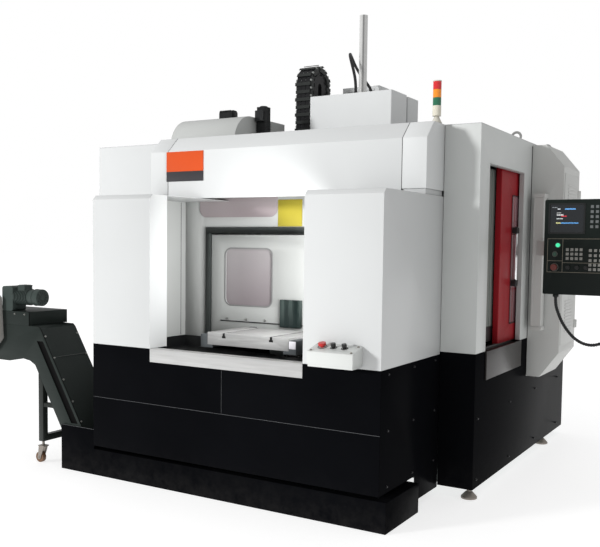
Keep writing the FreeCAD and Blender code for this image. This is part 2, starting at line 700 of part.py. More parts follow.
# ---------------------------------------------------------------- tool magazine
def magazine():
    disc = rod(disc_x, disc_y, disc_z, disc_radius - 70, 40, "x")
    hub = rod(disc_x, disc_y, disc_z, 90, 200, "x")
    pots = []
    count = 20
    for i in range(count):
        angle = 2 * math.pi * i / count
        y = disc_y + (disc_radius - 35) * math.cos(angle)
        z = disc_z + (disc_radius - 35) * math.sin(angle)
        pots.append(rod(disc_x - 20, y, z, 42, 110, "x"))
    bore = rod(disc_x - 1, disc_y, disc_z, 40 + run_fit, 300, "x")
    save("magazine_disc", cut(join([disc, hub] + pots), [bore]))

    arm_y = (spindle_y + disc_y) / 2
    plate = block(-column_half - 42, -column_half - 2, arm_y - 100, column_y + 140, 1880, 2120)
    lug = block(-column_half - 3, -column_half, column_y + 20, column_y + 140, 1880, 2120)
    carrier = block(-600, -column_half - 41, disc_y - 60, disc_y + 60, disc_z - 60, disc_z + 60)
    shelf = block(magazine_motor_x0 - 4, magazine_motor_x1 + 4, magazine_motor_y0 - 4, disc_y + 60,
                  disc_z + 20, disc_z + 60)
    axle = rod(disc_x - 10, disc_y, disc_z, 40, -600 + 1 - disc_x + 10, "x")
    cam_box = block(-column_half - 42, arm_x + 68, arm_y - 90, arm_y + 90, 1840, 2020)
    socket = rod(arm_x, arm_y, 1839, 35 + run_fit, 120)
    frame = cut(join([plate, lug, carrier, shelf, axle, cam_box]), [socket])
    column_motor = rounded(magazine_motor_x0, magazine_motor_x1, magazine_motor_y0, magazine_motor_y1,
                           disc_z + 60, 2590, 14, "z")
    hood_motor = rounded(disc_x - 130, disc_x - 10, disc_y - 130, disc_y - 50, hood_top + seat, hood_top + 78, 24, "x")
    save("magazine_drive", frame, column_motor, hood_motor)

    hub_part = rod(arm_x, arm_y, arm_low, 60, 50)
    reach = -arm_x
    blade = block(arm_x - 32, arm_x + 32, arm_y - reach, arm_y + reach, arm_low, arm_low + 35)
    jaws = [rod(arm_x, arm_y + s * reach, arm_low, 58, 35) for s in (1, -1)]
    grips = [rod(arm_x + s * 38, arm_y + s * reach, arm_low - 1, 34, 40) for s in (1, -1)]
    shaft = rod(arm_x, arm_y, arm_low + 35, 35, 1950 - arm_low - 35)
    save("tool_change_arm", cut(join([hub_part, blade, shaft] + jaws), grips))


def hood_face(inset):
    """Side outline of the hood, drawn in from its outer skin: a round front shoulder, a flat top, a plain back."""
    low = roof_top + 0.5
    front = hood_front_y + inset
    back = hood_back_y - inset
    top = hood_top - inset
    spring = hood_top - hood_curve
    centre_y = hood_front_y + hood_curve
    reach = (hood_curve - inset) * math.sqrt(0.5)
    corners = [V(0, back, low - inset), V(0, front, low - inset), V(0, front, spring), V(0, centre_y, top), V(0, back, top)]
    arc = Part.Arc(corners[2], V(0, centre_y - reach, spring + reach), corners[3]).toShape()
    lines = [Part.LineSegment(corners[i], corners[(i + 1) % 5]).toShape() for i in (0, 1, 3, 4)]
    return Part.Face(Part.Wire([lines[0], lines[1], arc, lines[2], lines[3]]))


def magazine_hood():
    """Sheet hood over the top of the tool disc, with closed ends."""
    outer = hood_face(0).extrude(V(hood_right - hood_left, 0, 0))
    outer.translate(V(hood_left, 0, 0))
    inner = hood_face(sheet).extrude(V(hood_right - hood_left - 2 * sheet, 0, 0))
    inner.translate(V(hood_left + sheet, 0, 0))
    save("magazine_hood", cut(outer, [inner]))


# ---------------------------------------------------------------- roof equipment
def head_cover():
    back = cover_front_y + cover_depth
    shell = rounded(-cover_half, cover_half, cover_front_y, back, roof_top + 0.5, cover_top, 10, "z")
    inner = block(-cover_half + sheet, cover_half - sheet, cover_front_y + sheet, back - sheet,
                  roof_top, cover_top - sheet)
    save("head_cover", cut(shell, [inner]))
    tube = rod(tube_x, tube_y, cover_top, tube_radius, tube_top - cover_top)
    bore = rod(tube_x, tube_y, cover_top + 5, tube_radius - 4, tube_top)
    foot = rod(tube_x, tube_y, cover_top, tube_radius + 18, 10)
    save("guide_tube", cut(join([tube, foot]), [bore]))


def cord_path(points, bends=None):
    """Straight runs joined by tangent arcs through the corners of a route."""
    edges = []
    last = V(*points[0])
    for i in range(1, len(points) - 1):
        before = V(*points[i - 1])
        corner = V(*points[i])
        after = V(*points[i + 1])
        run_in = corner.sub(before)
        run_out = after.sub(corner)
        short = min(run_in.Length, run_out.Length)
        turn = run_in.getAngle(run_out)
        back = 0.45 * short
        radius = back / math.tan(turn / 2)
        if bends is not None:
            bends.append(radius)
        u = V(run_in).normalize()
        w = V(run_out).normalize()
        start = corner.sub(V(u).multiply(back))
        end = corner.add(V(w).multiply(back))
        middle_way = V(w).sub(u).normalize()
        depth = radius / math.cos(turn / 2) - radius
        middle = corner.add(middle_way.multiply(depth))
        if start.sub(last).Length > 1e-6:
            edges.append(Part.LineSegment(last, start).toShape())
        edges.append(Part.Arc(start, middle, end).toShape())
        last = end
    edges.append(Part.LineSegment(last, V(*points[-1])).toShape())
    return Part.Wire(edges)


def cord(name, points, radius):
    bends = []
    path = cord_path(points, bends)
    first = V(*points[1]).sub(V(*points[0])).normalize()
    ring = Part.Wire(Part.makeCircle(radius, V(*points[0]), first))
    tube = path.makePipeShell([ring], True, False)
    save(name, tube)
    print(f"  radii {min(bends):.0f} to {max(bends):.0f}, length {path.Length:.0f},"
          f" volume / (section x length) {tube.Volume / (math.pi * radius ** 2 * path.Length):.4f}")


def hose_loop():
    low = cover_top + seat
    points = [
        (26, 150, low), (26, 150, low + 54), (20, 150, low + 112), (6, 151, low + 170), (-14, 158, low + 226),
        (-38, 178, low + 278), (-63, 216, low + 316), (-84, 266, low + 328), (-92, 314, low + 304),
        (-80, 342, low + 254), (-50, 350, low + 200), (-12, 350, low + 150), (26, 350, low + 104),
        (60, 350, low + 54), (60, 350, low),
    ]
    cord("hose_loop", points, hose_radius)


def energy_chain():
    """Cable chain standing in an arch: two straight legs joined by a half turn."""
    x0 = chain_left
    outer = chain_bend
    inner = chain_bend - chain_thickness
    centre_y = chain_front_y + outer
    centre_z = chain_crown - outer
    ring = rod(x0, centre_y, centre_z, outer, chain_width, "x").cut(rod(x0, centre_y, centre_z, inner, chain_width, "x"))
    ring = ring.cut(block(x0 - 1, x0 + chain_width + 1, centre_y - outer - 1, centre_y + outer + 1,
                          centre_z - outer - 1, centre_z))
    front = block(x0, x0 + chain_width, centre_y - outer, centre_y - inner, chain_low, centre_z)
    rear = block(x0, x0 + chain_width, centre_y + inner, centre_y + outer, chain_low, centre_z)
    arm = block(x0 + 10, x0 + chain_width - 10, centre_y + outer - 1, column_y + 50, chain_low + 25.3, chain_low + 45)
    save("energy_chain", join([ring, front, rear, arm]))


def signal_tower():
    """Stem, ivory body and three lamp sections."""
    low = roof_top + 0.5
    base = join([rod(tower_x, tower_y, low, 22, 8), rod(tower_x, tower_y, low, 9, 60),
                 rod(tower_x, tower_y, low + 45, tower_radius, 62)])
    lamps = []
    for i in range(3):
        z = low + 107 + i * 48
        lamps.append(rod(tower_x, tower_y, z, tower_radius - 1, 48))
    cap = rod(tower_x, tower_y, low + 107 + 3 * 48, tower_radius, 6)
    save("signal_tower", base, *lamps, cap)


# ---------------------------------------------------------------- coolant tank and chip conveyor
incline_top = (-front_half - 540.0, 946.0)
incline_foot = (-front_half - 142.0, 297.0)


def conveyor_lines():
    """Upper and lower edge lines of the incline, parallel at the casing's thickness."""
    dx = incline_foot[0] - incline_top[0]
    dz = incline_foot[1] - incline_top[1]
    size = math.hypot(dx, dz)
    ux = dx / size
    uz = dz / size
    nx = uz * casing_thickness
    nz = -ux * casing_thickness
    return ux, uz, nx, nz


def along_slope(z, offset):
    """X where the incline's edge line, moved off its top edge by the given share of its thickness, is at height z."""
    ux, uz, nx, nz = conveyor_lines()
    x0 = incline_top[0] + nx * offset
    z0 = incline_top[1] + nz * offset
    return x0 + ux * (z - z0) / uz


def conveyor_outline():
    """Side outline of the casing: head, incline and the flat run that lies in the tank."""
    low = tank_wall + seat
    run_end = tank_right - 179
    return [
        (head_left, head_top),
        (incline_top[0] - 20, head_top),
        incline_top,
        (along_slope(low + flat_height, 0), low + flat_height),
        (run_end, low + flat_height),
        (run_end, low),
        (along_slope(low, 1), low),
        (along_slope(head_low, 1), head_low),
        (head_left + 510, 716.0),
        (head_left + 440, 726.0),
        (head_left + 300, 700.0),
        (head_left + 140, 700.0),
        (head_left, 760.0),
    ]


def conveyor_casing():
    """Two side plates with a pressed-in channel, the skin wrapped between them, and the head's raised lid."""
    outline = conveyor_outline()
    y1 = conveyor_y + conveyor_width
    band = [
        (along_slope(860.0, 0.12), 860.0),
        (along_slope(320.0, 0.12), 320.0),
        (along_slope(320.0, 0.42), 320.0),
        (along_slope(860.0, 0.42), 860.0),
    ]
    near = cut(prism(outline, "y", conveyor_y, casing_side), [prism(band, "y", conveyor_y - 1, channel_depth + 1)])
    far = cut(prism(outline, "y", y1 - casing_side, casing_side),
              [prism(band, "y", y1 - channel_depth, channel_depth + 1)])
    inner_y = conveyor_y + casing_side
    corners = [V(x, inner_y, z) for x, z in outline + outline[:1]]
    face = Part.Face(Part.makePolygon(corners))
    skin = face.cut(face.makeOffset2D(-sheet, 2)).extrude(V(0, conveyor_width - 2 * casing_side, 0))
    chute = block(head_left + 150, head_left + 290, conveyor_y + 40, y1 - 40, 690, 710)
    inlet = block(-700, 700, conveyor_y + 40, y1 - 40, outline[4][1] - 10, outline[4][1] + 1)
    lid = block(head_left + 30, head_left + 500, conveyor_y, y1 + 30, head_top, lid_top)
    save("conveyor_casing", near, far, cut(skin, [chute, inlet]), lid)


leg_x = incline_top[0]
leg_size = 45.0
leg_low = 154.0
caster_plate = 6.0
caster_axle_z = caster_radius


def conveyor_stand():
    legs = []
    for y0 in (conveyor_y + seat, conveyor_y + conveyor_width - leg_size):
        x0 = leg_x - leg_size / 2
        x1 = leg_x + leg_size / 2
        top0 = leg_top(x0)
        top1 = leg_top(x1)
        legs.append(prism([(x0, leg_low), (x1, leg_low), (x1, top1), (x0, top0)], "y", y0, leg_size))
        tie_z = 400.0
        x_end = along_slope(tie_z + 30, 1) - 1.5
        legs.append(prism([(x1 - 1, tie_z), (along_slope(tie_z, 1) - 1.5, tie_z), (x_end, tie_z + 30), (x1 - 1, tie_z + 30)],
                          "y", y0 + 6, leg_size - 12))
    y0 = conveyor_y + seat
    y1 = conveyor_y + conveyor_width
    legs.append(block(leg_x - leg_size / 2, leg_x + leg_size / 2, y0, y1, leg_low, leg_low + leg_size))
    frame = join(legs)
    save("conveyor_stand", frame)


def leg_top(x):
    """Underside of the incline above x, less a weld's width."""
    ux, uz, nx, nz = conveyor_lines()
    x0 = incline_top[0] + nx
    z0 = incline_top[1] + nz
    return z0 + uz * (x - x0) / ux - 1.0


def casters():
    for name, y in (("front", conveyor_y + leg_size / 2 + seat), ("rear", conveyor_y + conveyor_width - leg_size / 2)):
        trail = -25.0
        top = leg_low - seat
        stem = rod(leg_x, y, top - 32, 9, 32)
        plate = rounded(leg_x - 30, leg_x + 30, y - 26, y + 26, top - 36, top - 30, 6, "z")
        cheeks = []
        for s in (1, -1):
            outline = [(leg_x - 24, top - 31), (leg_x + 24, top - 31), (leg_x + trail + 13, caster_axle_z - 12),
                       (leg_x + trail - 13, caster_axle_z - 12)]
            cheeks.append(prism(outline, "y", y + s * 19 - 2, 4))
        axle = rod(leg_x + trail, y - 24, caster_axle_z, 6, 48, "y")
        save(f"caster_fork_{name}", join([stem, plate, axle] + cheeks))
        wheel = soften_wheel(rod(leg_x + trail, y - 15, caster_axle_z, caster_radius, 30, "y"))
        save(f"caster_wheel_{name}", cut(wheel, [rod(leg_x + trail, y - 16, caster_axle_z, 6 + run_fit, 32, "y")]))


def soften_wheel(wheel):
    rims = [edge for edge in wheel.Edges if len(edge.Vertexes) == 1 or edge.Curve.TypeId == "Part::GeomCircle"]
    return wheel.makeFillet(4, rims)


def conveyor_gearmotor():
    """Helical gear unit on the head's top with its motor lying along X, and the drive's chain guard."""
    motor_z = 1160.0
    motor_y = conveyor_y + 62
    motor = rod(head_left + 330, motor_y, motor_z, 52, 190, "x")
    ribs = [rod(head_left + 340 + i * 16, motor_y, motor_z, 59, 6, "x") for i in range(8)]
    fan_cover = soften_wheel(rod(head_left + 520, motor_y, motor_z, 59, 55, "x"))
    terminal = block(head_left + 360, head_left + 430, motor_y - 35, motor_y + 35, motor_z + 40, motor_z + 78)
    gearbox = rounded(head_left + 225, head_left + 335, motor_y - 60, motor_y + 60, lid_top + seat, motor_z + 74, 20, "y")
    drive = join([motor, fan_cover, terminal, gearbox] + ribs)
    plate = ((10, 800), (150, 760), (240, 860), (225, 1150), (150, 1215), (80, 1180), (10, 1000))
    guard_outline = [(head_left + dx, z) for dx, z in plate]
    guard = prism(guard_outline, "y", conveyor_y - 46, 45.5)
    save("conveyor_gearmotor", drive, guard)


def coolant_tank():
    y1 = tank_y + tank_depth
    low_part = block(tank_left, tank_right, tank_y, y1, 0, tank_top)
    box = block(tank_left, tank_box_right, tank_y, y1, 0, tank_box_top)
    shell = join([low_part, box])
    t = tank_wall
    rooms = [
        block(tank_left + t, tank_right - t, tank_y + t, y1 - t, t, tank_top - t),
        block(tank_left + t, tank_box_right - t, tank_y + t, y1 - t, t, tank_box_top + 1),
    ]
    rooms.append(block(-700, 700, tank_y + 60, y1 - 126, tank_top - t - 1, tank_top + 1))
    rooms.append(block(tank_left - 1, tank_left + t + 1, conveyor_y - 3, conveyor_y + conveyor_width + 3,
                       tank_box_top - 78, tank_box_top + 1))
    save("coolant_tank", cut(shell, rooms))


# ---------------------------------------------------------------- push-button box
box_left = opening_half + 95.0
box_right = box_left + 281.0
box_front = front_y - 120.0
box_low = 897.0
box_face_top = 980.0
box_rear_top = 1014.0


def top_frame(x, share):
    """Point on the box's sloped top and the unit vector out of it."""
    rise = box_rear_top - box_face_top
    run = front_y - box_front
    size = math.hypot(rise, run)
    point = V(x, box_front + share * run, box_face_top + share * rise)
    return point, V(0, -rise / size, run / size)


def button_box():
    outline = [(box_front, box_low + 16), (box_front, box_face_top), (front_y, box_rear_top), (front_y, box_low + 16)]
    body = prism(outline, "x", box_left, box_right - box_left)
    lip = block(box_left + 4, box_right - 4, box_front + 6, front_y, box_low, box_low + 17)
    wells = []
    for x in (714.0, 783.0, 850.0):
        point, out = top_frame(x, 0.6)
        wells.append(Part.makeCylinder(11 + run_fit, 60, point.sub(V(out).multiply(40)), out))
    save("button_box", cut(join([body, lip]), wells))
    for name, x, radius, height in (("box_stop_button", 714.0, 22, 16), ("box_button_left", 783.0, 14, 18),
                                    ("box_button_right", 850.0, 14, 18)):
        point, out = top_frame(x, 0.6)
        stem = Part.makeCylinder(11, 44, point.sub(V(out).multiply(28)), out)
        cap = Part.makeCylinder(radius, height, point.add(V(out).multiply(9)), out)
        rim = [edge for edge in cap.Edges if edge.Curve.TypeId == "Part::GeomCircle"]
        cap = cap.makeFillet(3, rim)
        save(name, join([stem, cap]))


# ---------------------------------------------------------------- electrical cabinet
def cabinet():
    y1 = cabinet_y + cabinet_depth
    wall_x = side_half + seat
    low_x = side_half + 96
    high_x = side_half + 100
    outer = [(wall_x, 630.0), (low_x, 630.0), (cabinet_right, 812.0), (cabinet_right, 2125.0), (high_x, 2280.0),
             (wall_x, 2280.0)]
    body = prism(outer, "y", cabinet_y, cabinet_depth)
    t = sheet
    inner = [(wall_x - 1, 630.0 + t), (low_x - t / 2, 630.0 + t), (cabinet_right - t, 812.0 + t / 2),
             (cabinet_right - t, 2125.0 - t / 2), (high_x - t / 2, 2280.0 - t), (wall_x - 1, 2280.0 - t)]
    room = prism(inner, "y", cabinet_y + t, cabinet_depth - 2 * t)
    doorway = block(cabinet_right - 2 * t, cabinet_right + 1, cabinet_y + 40, y1 - 40, 880, 2060)
    shell = cut(body, [room, doorway])
    brackets = []
    for z0 in (post_low - 27 - seat, post_high + seat):
        shelf = block(post_x - 40, post_x + 40, post_y_axis() - 40, cabinet_y + 1, z0, z0 + 27)
        hole = rod(post_x, post_y_axis(), z0 - 1, pin_radius + run_fit, 30)
        brackets.append(cut(shelf, [hole]))
    save("cabinet_shell", join([shell] + brackets))
    plate = block(cabinet_right + seat, cabinet_right + seat + 3, cabinet_y + 24, y1 - 24, 862, 2078)
    knuckle_y = y1 - 24
    knuckles = [rod(cabinet_right + 11, knuckle_y + 7, z, 7, 60) for z in (960.0, 1440.0, 1920.0)]
    leaves = [block(cabinet_right + seat + 2.9, cabinet_right + 11, knuckle_y - 30, knuckle_y + 7, z, z + 60)
              for z in (960.0, 1440.0, 1920.0)]
    latch = rounded(cabinet_right + 3, cabinet_right + 18, cabinet_y + 40, cabinet_y + 62, 1400, 1520, 6, "z")
    save("cabinet_door", join([plate, latch] + knuckles + leaves))


def post_y_axis():
    return cabinet_y - 57.0


# ---------------------------------------------------------------- pendant and its arm
screen_left = pendant_left + 34
screen_right = pendant_left + 231
key_size = 17.0
key_height = 3.0
key_fields = ((272, 1676, 8, 5, 30), (134, 1483, 4, 3, 27), (269, 1473, 8, 3, 30), (269, 1419, 8, 2, 27))


def pendant_arm():
    y = post_y_axis()
    post = rounded(post_x - post_half, post_x + post_half, y - post_half, y + post_half, post_low, post_high, 6, "z")
    pins = [rod(post_x, y, post_low - 24, pin_radius, 30), rod(post_x, y, post_high - 6, pin_radius, 30)]
    run = math.hypot(hub_x - post_x, hub_y - y)
    turn = math.degrees(math.atan2(hub_y - y, hub_x - post_x))
    beam = block(0, run, -32, 32, hub_low + 50, hub_low + 150)
    beam.rotate(V(0, 0, 0), V(0, 0, 1), turn)
    beam.translate(V(post_x, y, 0))
    hub = rod(hub_x, hub_y, hub_low, hub_radius, hub_high - hub_low)
    bore = rod(hub_x, hub_y, hub_low - 1, pin_radius + run_fit, hub_high - hub_low + 2)
    tube = block(post_half, run - hub_radius, -28, 28, hub_low + 54, hub_low + 146)
    tube.rotate(V(0, 0, 0), V(0, 0, 1), turn)
    tube.translate(V(post_x, y, 0))
    inner = post_half - tank_wall
    core = block(post_x - inner, post_x + inner, y - inner, y + inner, post_low + 10, post_high - 10)
    save("pendant_arm", cut(join([post, beam, hub] + pins), [bore, tube, core]))


def pendant():
    y1 = pendant_y + pendant_depth
    shell = rounded(pendant_left, pendant_right, pendant_y, y1, pendant_low, pendant_high, 10, "y")
    ears = []
    for z0 in (hub_low - 20 - seat, hub_high + seat):
        ears.append(block(hub_x - 42, hub_x + 42, y1 - 1, hub_y + 30, z0, z0 + 20))
    pin = rod(hub_x, hub_y, hub_low - 18, pin_radius, hub_high - hub_low + 36)
    wells = [block(screen_left - 2, screen_right + 2, pendant_y - 1, pendant_y + 6, 1648, 1820),
             block(pendant_left + 4, pendant_right - 4, pendant_y + 12, y1 - 4, pendant_low + 4, pendant_high - 4)]
    for x, z, radius in pendant_buttons():
        wells.append(rod(x, pendant_y - 1, z, radius + run_fit, 40, "y"))
    glands = [rod(x, pendant_y + 46, pendant_low - 18, 17, 19) for x in (conduit_start, conduit_end)]
    save("pendant_housing", cut(join([shell, pin] + ears + glands), wells))
    face = [block(screen_left, screen_right, pendant_y + 1, pendant_y + 6, 1650, 1818)]
    for dx, z0, columns, rows, step in key_fields:
        for i in range(columns):
            for j in range(rows):
                x = pendant_left + dx + i * step
                z = z0 + j * step
                face.append(block(x, x + key_size, pendant_y - key_height, pendant_y, z, z + key_size))
    save("pendant_face", *face)
    names = ("pendant_start_button", "pendant_hold_button", "pendant_stop_button")
    for name, (x, z, radius) in zip(names, pendant_buttons()):
        stem = rod(x, pendant_y - 8, z, radius, 36, "y")
        if name == "pendant_stop_button":
            cap = rod(x, pendant_y - 26, z, 20, 16, "y")
            rim = [edge for edge in cap.Edges if edge.Curve.TypeId == "Part::GeomCircle"]
            stem = join([rod(x, pendant_y - 12, z, radius, 40, "y"), cap.makeFillet(4, rim)])
        save(name, stem)


def pendant_buttons():
    return [(pendant_left + 85.0, 1572.0, 12.0), (pendant_left + 68.0, 1517.0, 12.0), (pendant_left + 67.0, 1437.0, 12.0)]


conduit_start = pendant_left + 70.0
conduit_end = pendant_right - 134.0


def conduit():
    y = pendant_y + 46
    low = pendant_low - 18
    points = [
        (conduit_start, y, low), (conduit_start, y, low - 50), (1664, y, low - 104), (1688, y, low - 158), (1722, y, low - 208),
        (1766, y, low - 254), (1822, y, low - 284), (1884, y, low - 288), (1944, y, low - 262), (1992, y, low - 220),
        (2026, y, low - 168), (2048, y, low - 110), (conduit_end, y, low - 54), (conduit_end, y, low),
    ]
    cord("pendant_conduit", points, 10.5)


# ---------------------------------------------------------------- build
def build():
    base_panels()
    cover = pillar()
    save("pillar_covers", cover, mirrored(cover))
    beam_covers()
    roof_covers()
    side_walls()
    sills()
    operator_door()
    bay_tray()
    bay_walls()
    seal_frame()
    pallet_arm()
    save("pallets", pallet(post_y - pallet_reach), pallet(post_y + pallet_reach))
    partition()
    bed_casting()
    column_casting()
    levelling_feet()
    axis_fittings()
    saddle()
    work_table()
    ball_screws()
    spindle_head()
    magazine()
    magazine_hood()
    head_cover()
    hose_loop()
    energy_chain()
    signal_tower()
    conveyor_casing()
    conveyor_stand()
    casters()
    conveyor_gearmotor()
    coolant_tank()
    button_box()
    cabinet()
    pendant_arm()
    pendant()
    conduit()


build()
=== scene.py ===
"""Looks of a twin-pallet vertical machining centre: finishes, small fittings, lights and the camera.

Metres. X runs from the chip conveyor to the operator's pendant, Y from the loading front to the rear, Z up.
"""

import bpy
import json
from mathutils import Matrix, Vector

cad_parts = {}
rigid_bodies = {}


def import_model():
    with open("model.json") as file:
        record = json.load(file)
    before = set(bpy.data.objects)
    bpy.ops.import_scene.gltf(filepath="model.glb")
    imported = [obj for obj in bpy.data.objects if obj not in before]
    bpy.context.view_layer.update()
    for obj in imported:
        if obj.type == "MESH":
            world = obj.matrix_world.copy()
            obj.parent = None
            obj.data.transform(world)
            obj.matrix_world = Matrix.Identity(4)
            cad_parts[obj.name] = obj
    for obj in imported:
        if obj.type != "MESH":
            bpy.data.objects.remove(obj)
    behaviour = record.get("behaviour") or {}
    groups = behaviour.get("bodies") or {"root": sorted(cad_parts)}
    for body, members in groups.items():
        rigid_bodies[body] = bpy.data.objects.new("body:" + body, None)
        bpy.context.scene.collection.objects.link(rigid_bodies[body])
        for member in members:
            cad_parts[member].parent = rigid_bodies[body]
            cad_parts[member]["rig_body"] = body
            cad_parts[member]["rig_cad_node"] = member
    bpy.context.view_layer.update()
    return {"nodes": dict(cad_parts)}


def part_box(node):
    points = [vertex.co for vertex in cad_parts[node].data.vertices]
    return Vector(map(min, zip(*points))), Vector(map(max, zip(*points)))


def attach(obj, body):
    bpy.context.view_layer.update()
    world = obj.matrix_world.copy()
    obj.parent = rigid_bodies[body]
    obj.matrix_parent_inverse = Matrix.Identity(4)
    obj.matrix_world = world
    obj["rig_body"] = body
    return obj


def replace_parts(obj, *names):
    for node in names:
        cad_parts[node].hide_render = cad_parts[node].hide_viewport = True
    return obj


bl_info = {
    "name": "Machining Centre Looks",
    "version": (1, 0, 0),
    "blender": (4, 5, 0),
    "location": "3D View > Sidebar > Machine",
    "description": "Finishes and small fittings of a vertical machining centre on its packed frame",
    "category": "Object",
}

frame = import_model()

import json
import math
from contextlib import contextmanager

import bmesh
import bpy
from mathutils import Matrix, Vector

FRONT, REAR = (0, -1, 0), (0, 1, 0)
LEFT, RIGHT = (-1, 0, 0), (1, 0, 0)
UP = (0, 0, 1)
EVEN = (1.0, 1.0, 1.0)
BEVEL_FROM = math.radians(30)
SMOOTH_BELOW = math.radians(35)


# ---------------------------------------------------------------- shader expressions
class Wire:
    """One output of a shader node, so that patterns can be written as sums and products."""

    def __init__(self, shop, socket):
        self.shop = shop
        self.socket = socket

    def _math(self, operation, first, second):
        return self.shop.node("ShaderNodeMath", {"operation": operation}, {0: first, 1: second})

    def __add__(self, other):
        return self._math("ADD", self, other)

    def __radd__(self, other):
        return self._math("ADD", other, self)

    def __sub__(self, other):
        return self._math("SUBTRACT", self, other)

    def __rsub__(self, other):
        return self._math("SUBTRACT", other, self)

    def __mul__(self, other):
        return self._math("MULTIPLY", self, other)

    def __rmul__(self, other):
        return self._math("MULTIPLY", other, self)

    def __gt__(self, other):
        return self._math("GREATER_THAN", self, other)

    def __lt__(self, other):
        return self._math("LESS_THAN", self, other)

    def power(self, other):
        return self._math("POWER", self, other)

    def wrapped(self, length):
        """Remainder after whole lengths, from 0 to the length."""
        return self._math("FLOORED_MODULO", self, length)

    def ramp(self, low, high, to_low=0.0, to_high=1.0):
        """A clamped straight ramp from one range to another."""
        return self.shop.node("ShaderNodeMapRange", {"clamp": True},
                              {0: self, 1: low, 2: high, 3: to_low, 4: to_high})

    def spread(self):
        """The middle of a noise drawn out to the whole range from 0 to 1."""
        return self.ramp(0.3, 0.7)


class Shop:
    """A new material with its main shader, and one method that adds any other node."""

    def __init__(self, name):
        self.material = bpy.data.materials.new(name)
        self.material.use_nodes = True
        self.tree = self.material.node_tree
        self.shader = self.tree.nodes["Principled BSDF"]

    def node(self, kind, settings, inputs, output=0):
        made = self.tree.nodes.new(kind)
        for key, value in settings.items():
            setattr(made, key, value)
        for key, value in inputs.items():
            self.feed(made.inputs[key], value)
        return Wire(self, made.outputs[output])

    def feed(self, socket, value):
        if isinstance(value, Wire):
            self.tree.links.new(value.socket, socket)
        elif socket.type == "RGBA" and len(value) == 3:
            socket.default_value = (*value, 1.0)
        else:
            socket.default_value = value

    def place(self):
        return self.node("ShaderNodeTexCoord", {}, {}, "Object")

    def axis(self, letter):
        return self.node("ShaderNodeSeparateXYZ", {}, {0: self.place()}, letter.upper())

    def noise(self, scale, detail=3.0, rough=0.55, stretch=EVEN):
        """Noise from 0 to 1, its grains drawn out along the axes by the stretch."""
        where = self.node("ShaderNodeMapping", {}, {"Vector": self.place(), "Scale": stretch})
        values = {"Vector": where, "Scale": scale, "Detail": detail, "Roughness": rough}
        return self.node("ShaderNodeTexNoise", {}, values)

    def blend(self, share, first, second):
        """Colour between two, by a share from 0 to 1."""
        factor, colour_a, colour_b, mixed = 0, 6, 7, 2
        values = {factor: share, colour_a: first, colour_b: second}
        return self.node("ShaderNodeMix", {"data_type": "RGBA"}, values, mixed)

    def bump(self, height, strength, distance):
        return self.node("ShaderNodeBump", {}, {"Strength": strength, "Distance": distance, "Height": height})

    def finish(self, **values):
        for key, value in values.items():
            self.feed(self.shader.inputs[key.replace("_", " ").title().replace("Ior", "IOR")], value)
        return self.material


def tone(colour, factor):
    """A colour made darker or lighter by a factor."""
    return tuple(min(1.0, c * factor) for c in colour)


# ---------------------------------------------------------------- finishes
def sprayed_paint(name, colour, roughness, coat=0.3, grain=260.0, grime=0.06, dust_top=0.0, gloss=0.5):
    """Sprayed enamel: fine orange peel, slight unevenness of tone, handling marks and floor dust low down."""
    shop = Shop(name)
    cloud = shop.noise(1.6, 4.0)
    smudge = shop.noise(7.0, 5.0, 0.65, (1.0, 1.0, 0.35)).ramp(0.52, 0.78)
    shade = shop.blend(cloud.spread(), tone(colour, 1.0 - grime), tone(colour, 1.0 + grime * 0.5))
    if dust_top:
        low_down = shop.axis("z").ramp(0.0, dust_top, 1.0, 0.0).power(2.0)
        dust = low_down * shop.noise(14.0, 5.0, 0.7).ramp(0.35, 0.7)
        shade = shop.blend(dust * 0.05, shade, (0.16, 0.15, 0.14))
    peel = shop.noise(grain, 2.0)
    return shop.finish(
        base_color=shade,
        roughness=roughness + smudge * 0.015 + (cloud - 0.5) * 0.03,
        normal=shop.bump(peel, 0.10, 0.0006),
        coat_weight=coat,
        coat_roughness=0.12,
        specular_ior_level=gloss,
    )


def brushed_metal(name, colour, roughness, stretch=EVEN, metallic=1.0, marks=0.10):
    """Ground or drawn metal, its fine lines drawn out along one axis."""
    shop = Shop(name)
    lines = shop.noise(90.0, 4.0, 0.6, stretch)
    stain = shop.noise(5.0, 4.0, 0.6)
    shade = shop.blend(lines.spread(), tone(colour, 1.0 - marks), tone(colour, 1.0 + marks))
    return shop.finish(
        base_color=shop.blend(stain.ramp(0.45, 0.8) * 0.35, shade, tone(colour, 0.72)),
        metallic=metallic,
        roughness=roughness + lines * 0.14 + stain * 0.08,
        normal=shop.bump(lines, 0.08, 0.0004),
    )


def rough_casting(name, colour):
    """Painted sand casting with a pebbled skin."""
    shop = Shop(name)
    pebbles = shop.noise(120.0, 5.0, 0.65)
    cloud = shop.noise(3.0, 4.0)
    return shop.finish(
        base_color=shop.blend(cloud.spread(), tone(colour, 0.85), tone(colour, 1.1)),
        roughness=0.52 + pebbles * 0.2,
        normal=shop.bump(pebbles, 0.35, 0.0012),
    )


def moulded(name, colour, roughness=0.45, grain=500.0, depth=0.25, coat=0.0, gloss=0.35):
    """Moulded plastic or rubber with a fine even texture."""
    shop = Shop(name)
    texture = shop.noise(grain, 3.0)
    cloud = shop.noise(9.0, 3.0)
    return shop.finish(
        base_color=shop.blend(cloud.spread(), tone(colour, 0.88), tone(colour, 1.14)),
        roughness=roughness + cloud * 0.12,
        normal=shop.bump(texture, depth, 0.0005),
        coat_weight=coat,
        coat_roughness=0.15,
        specular_ior_level=gloss,
    )


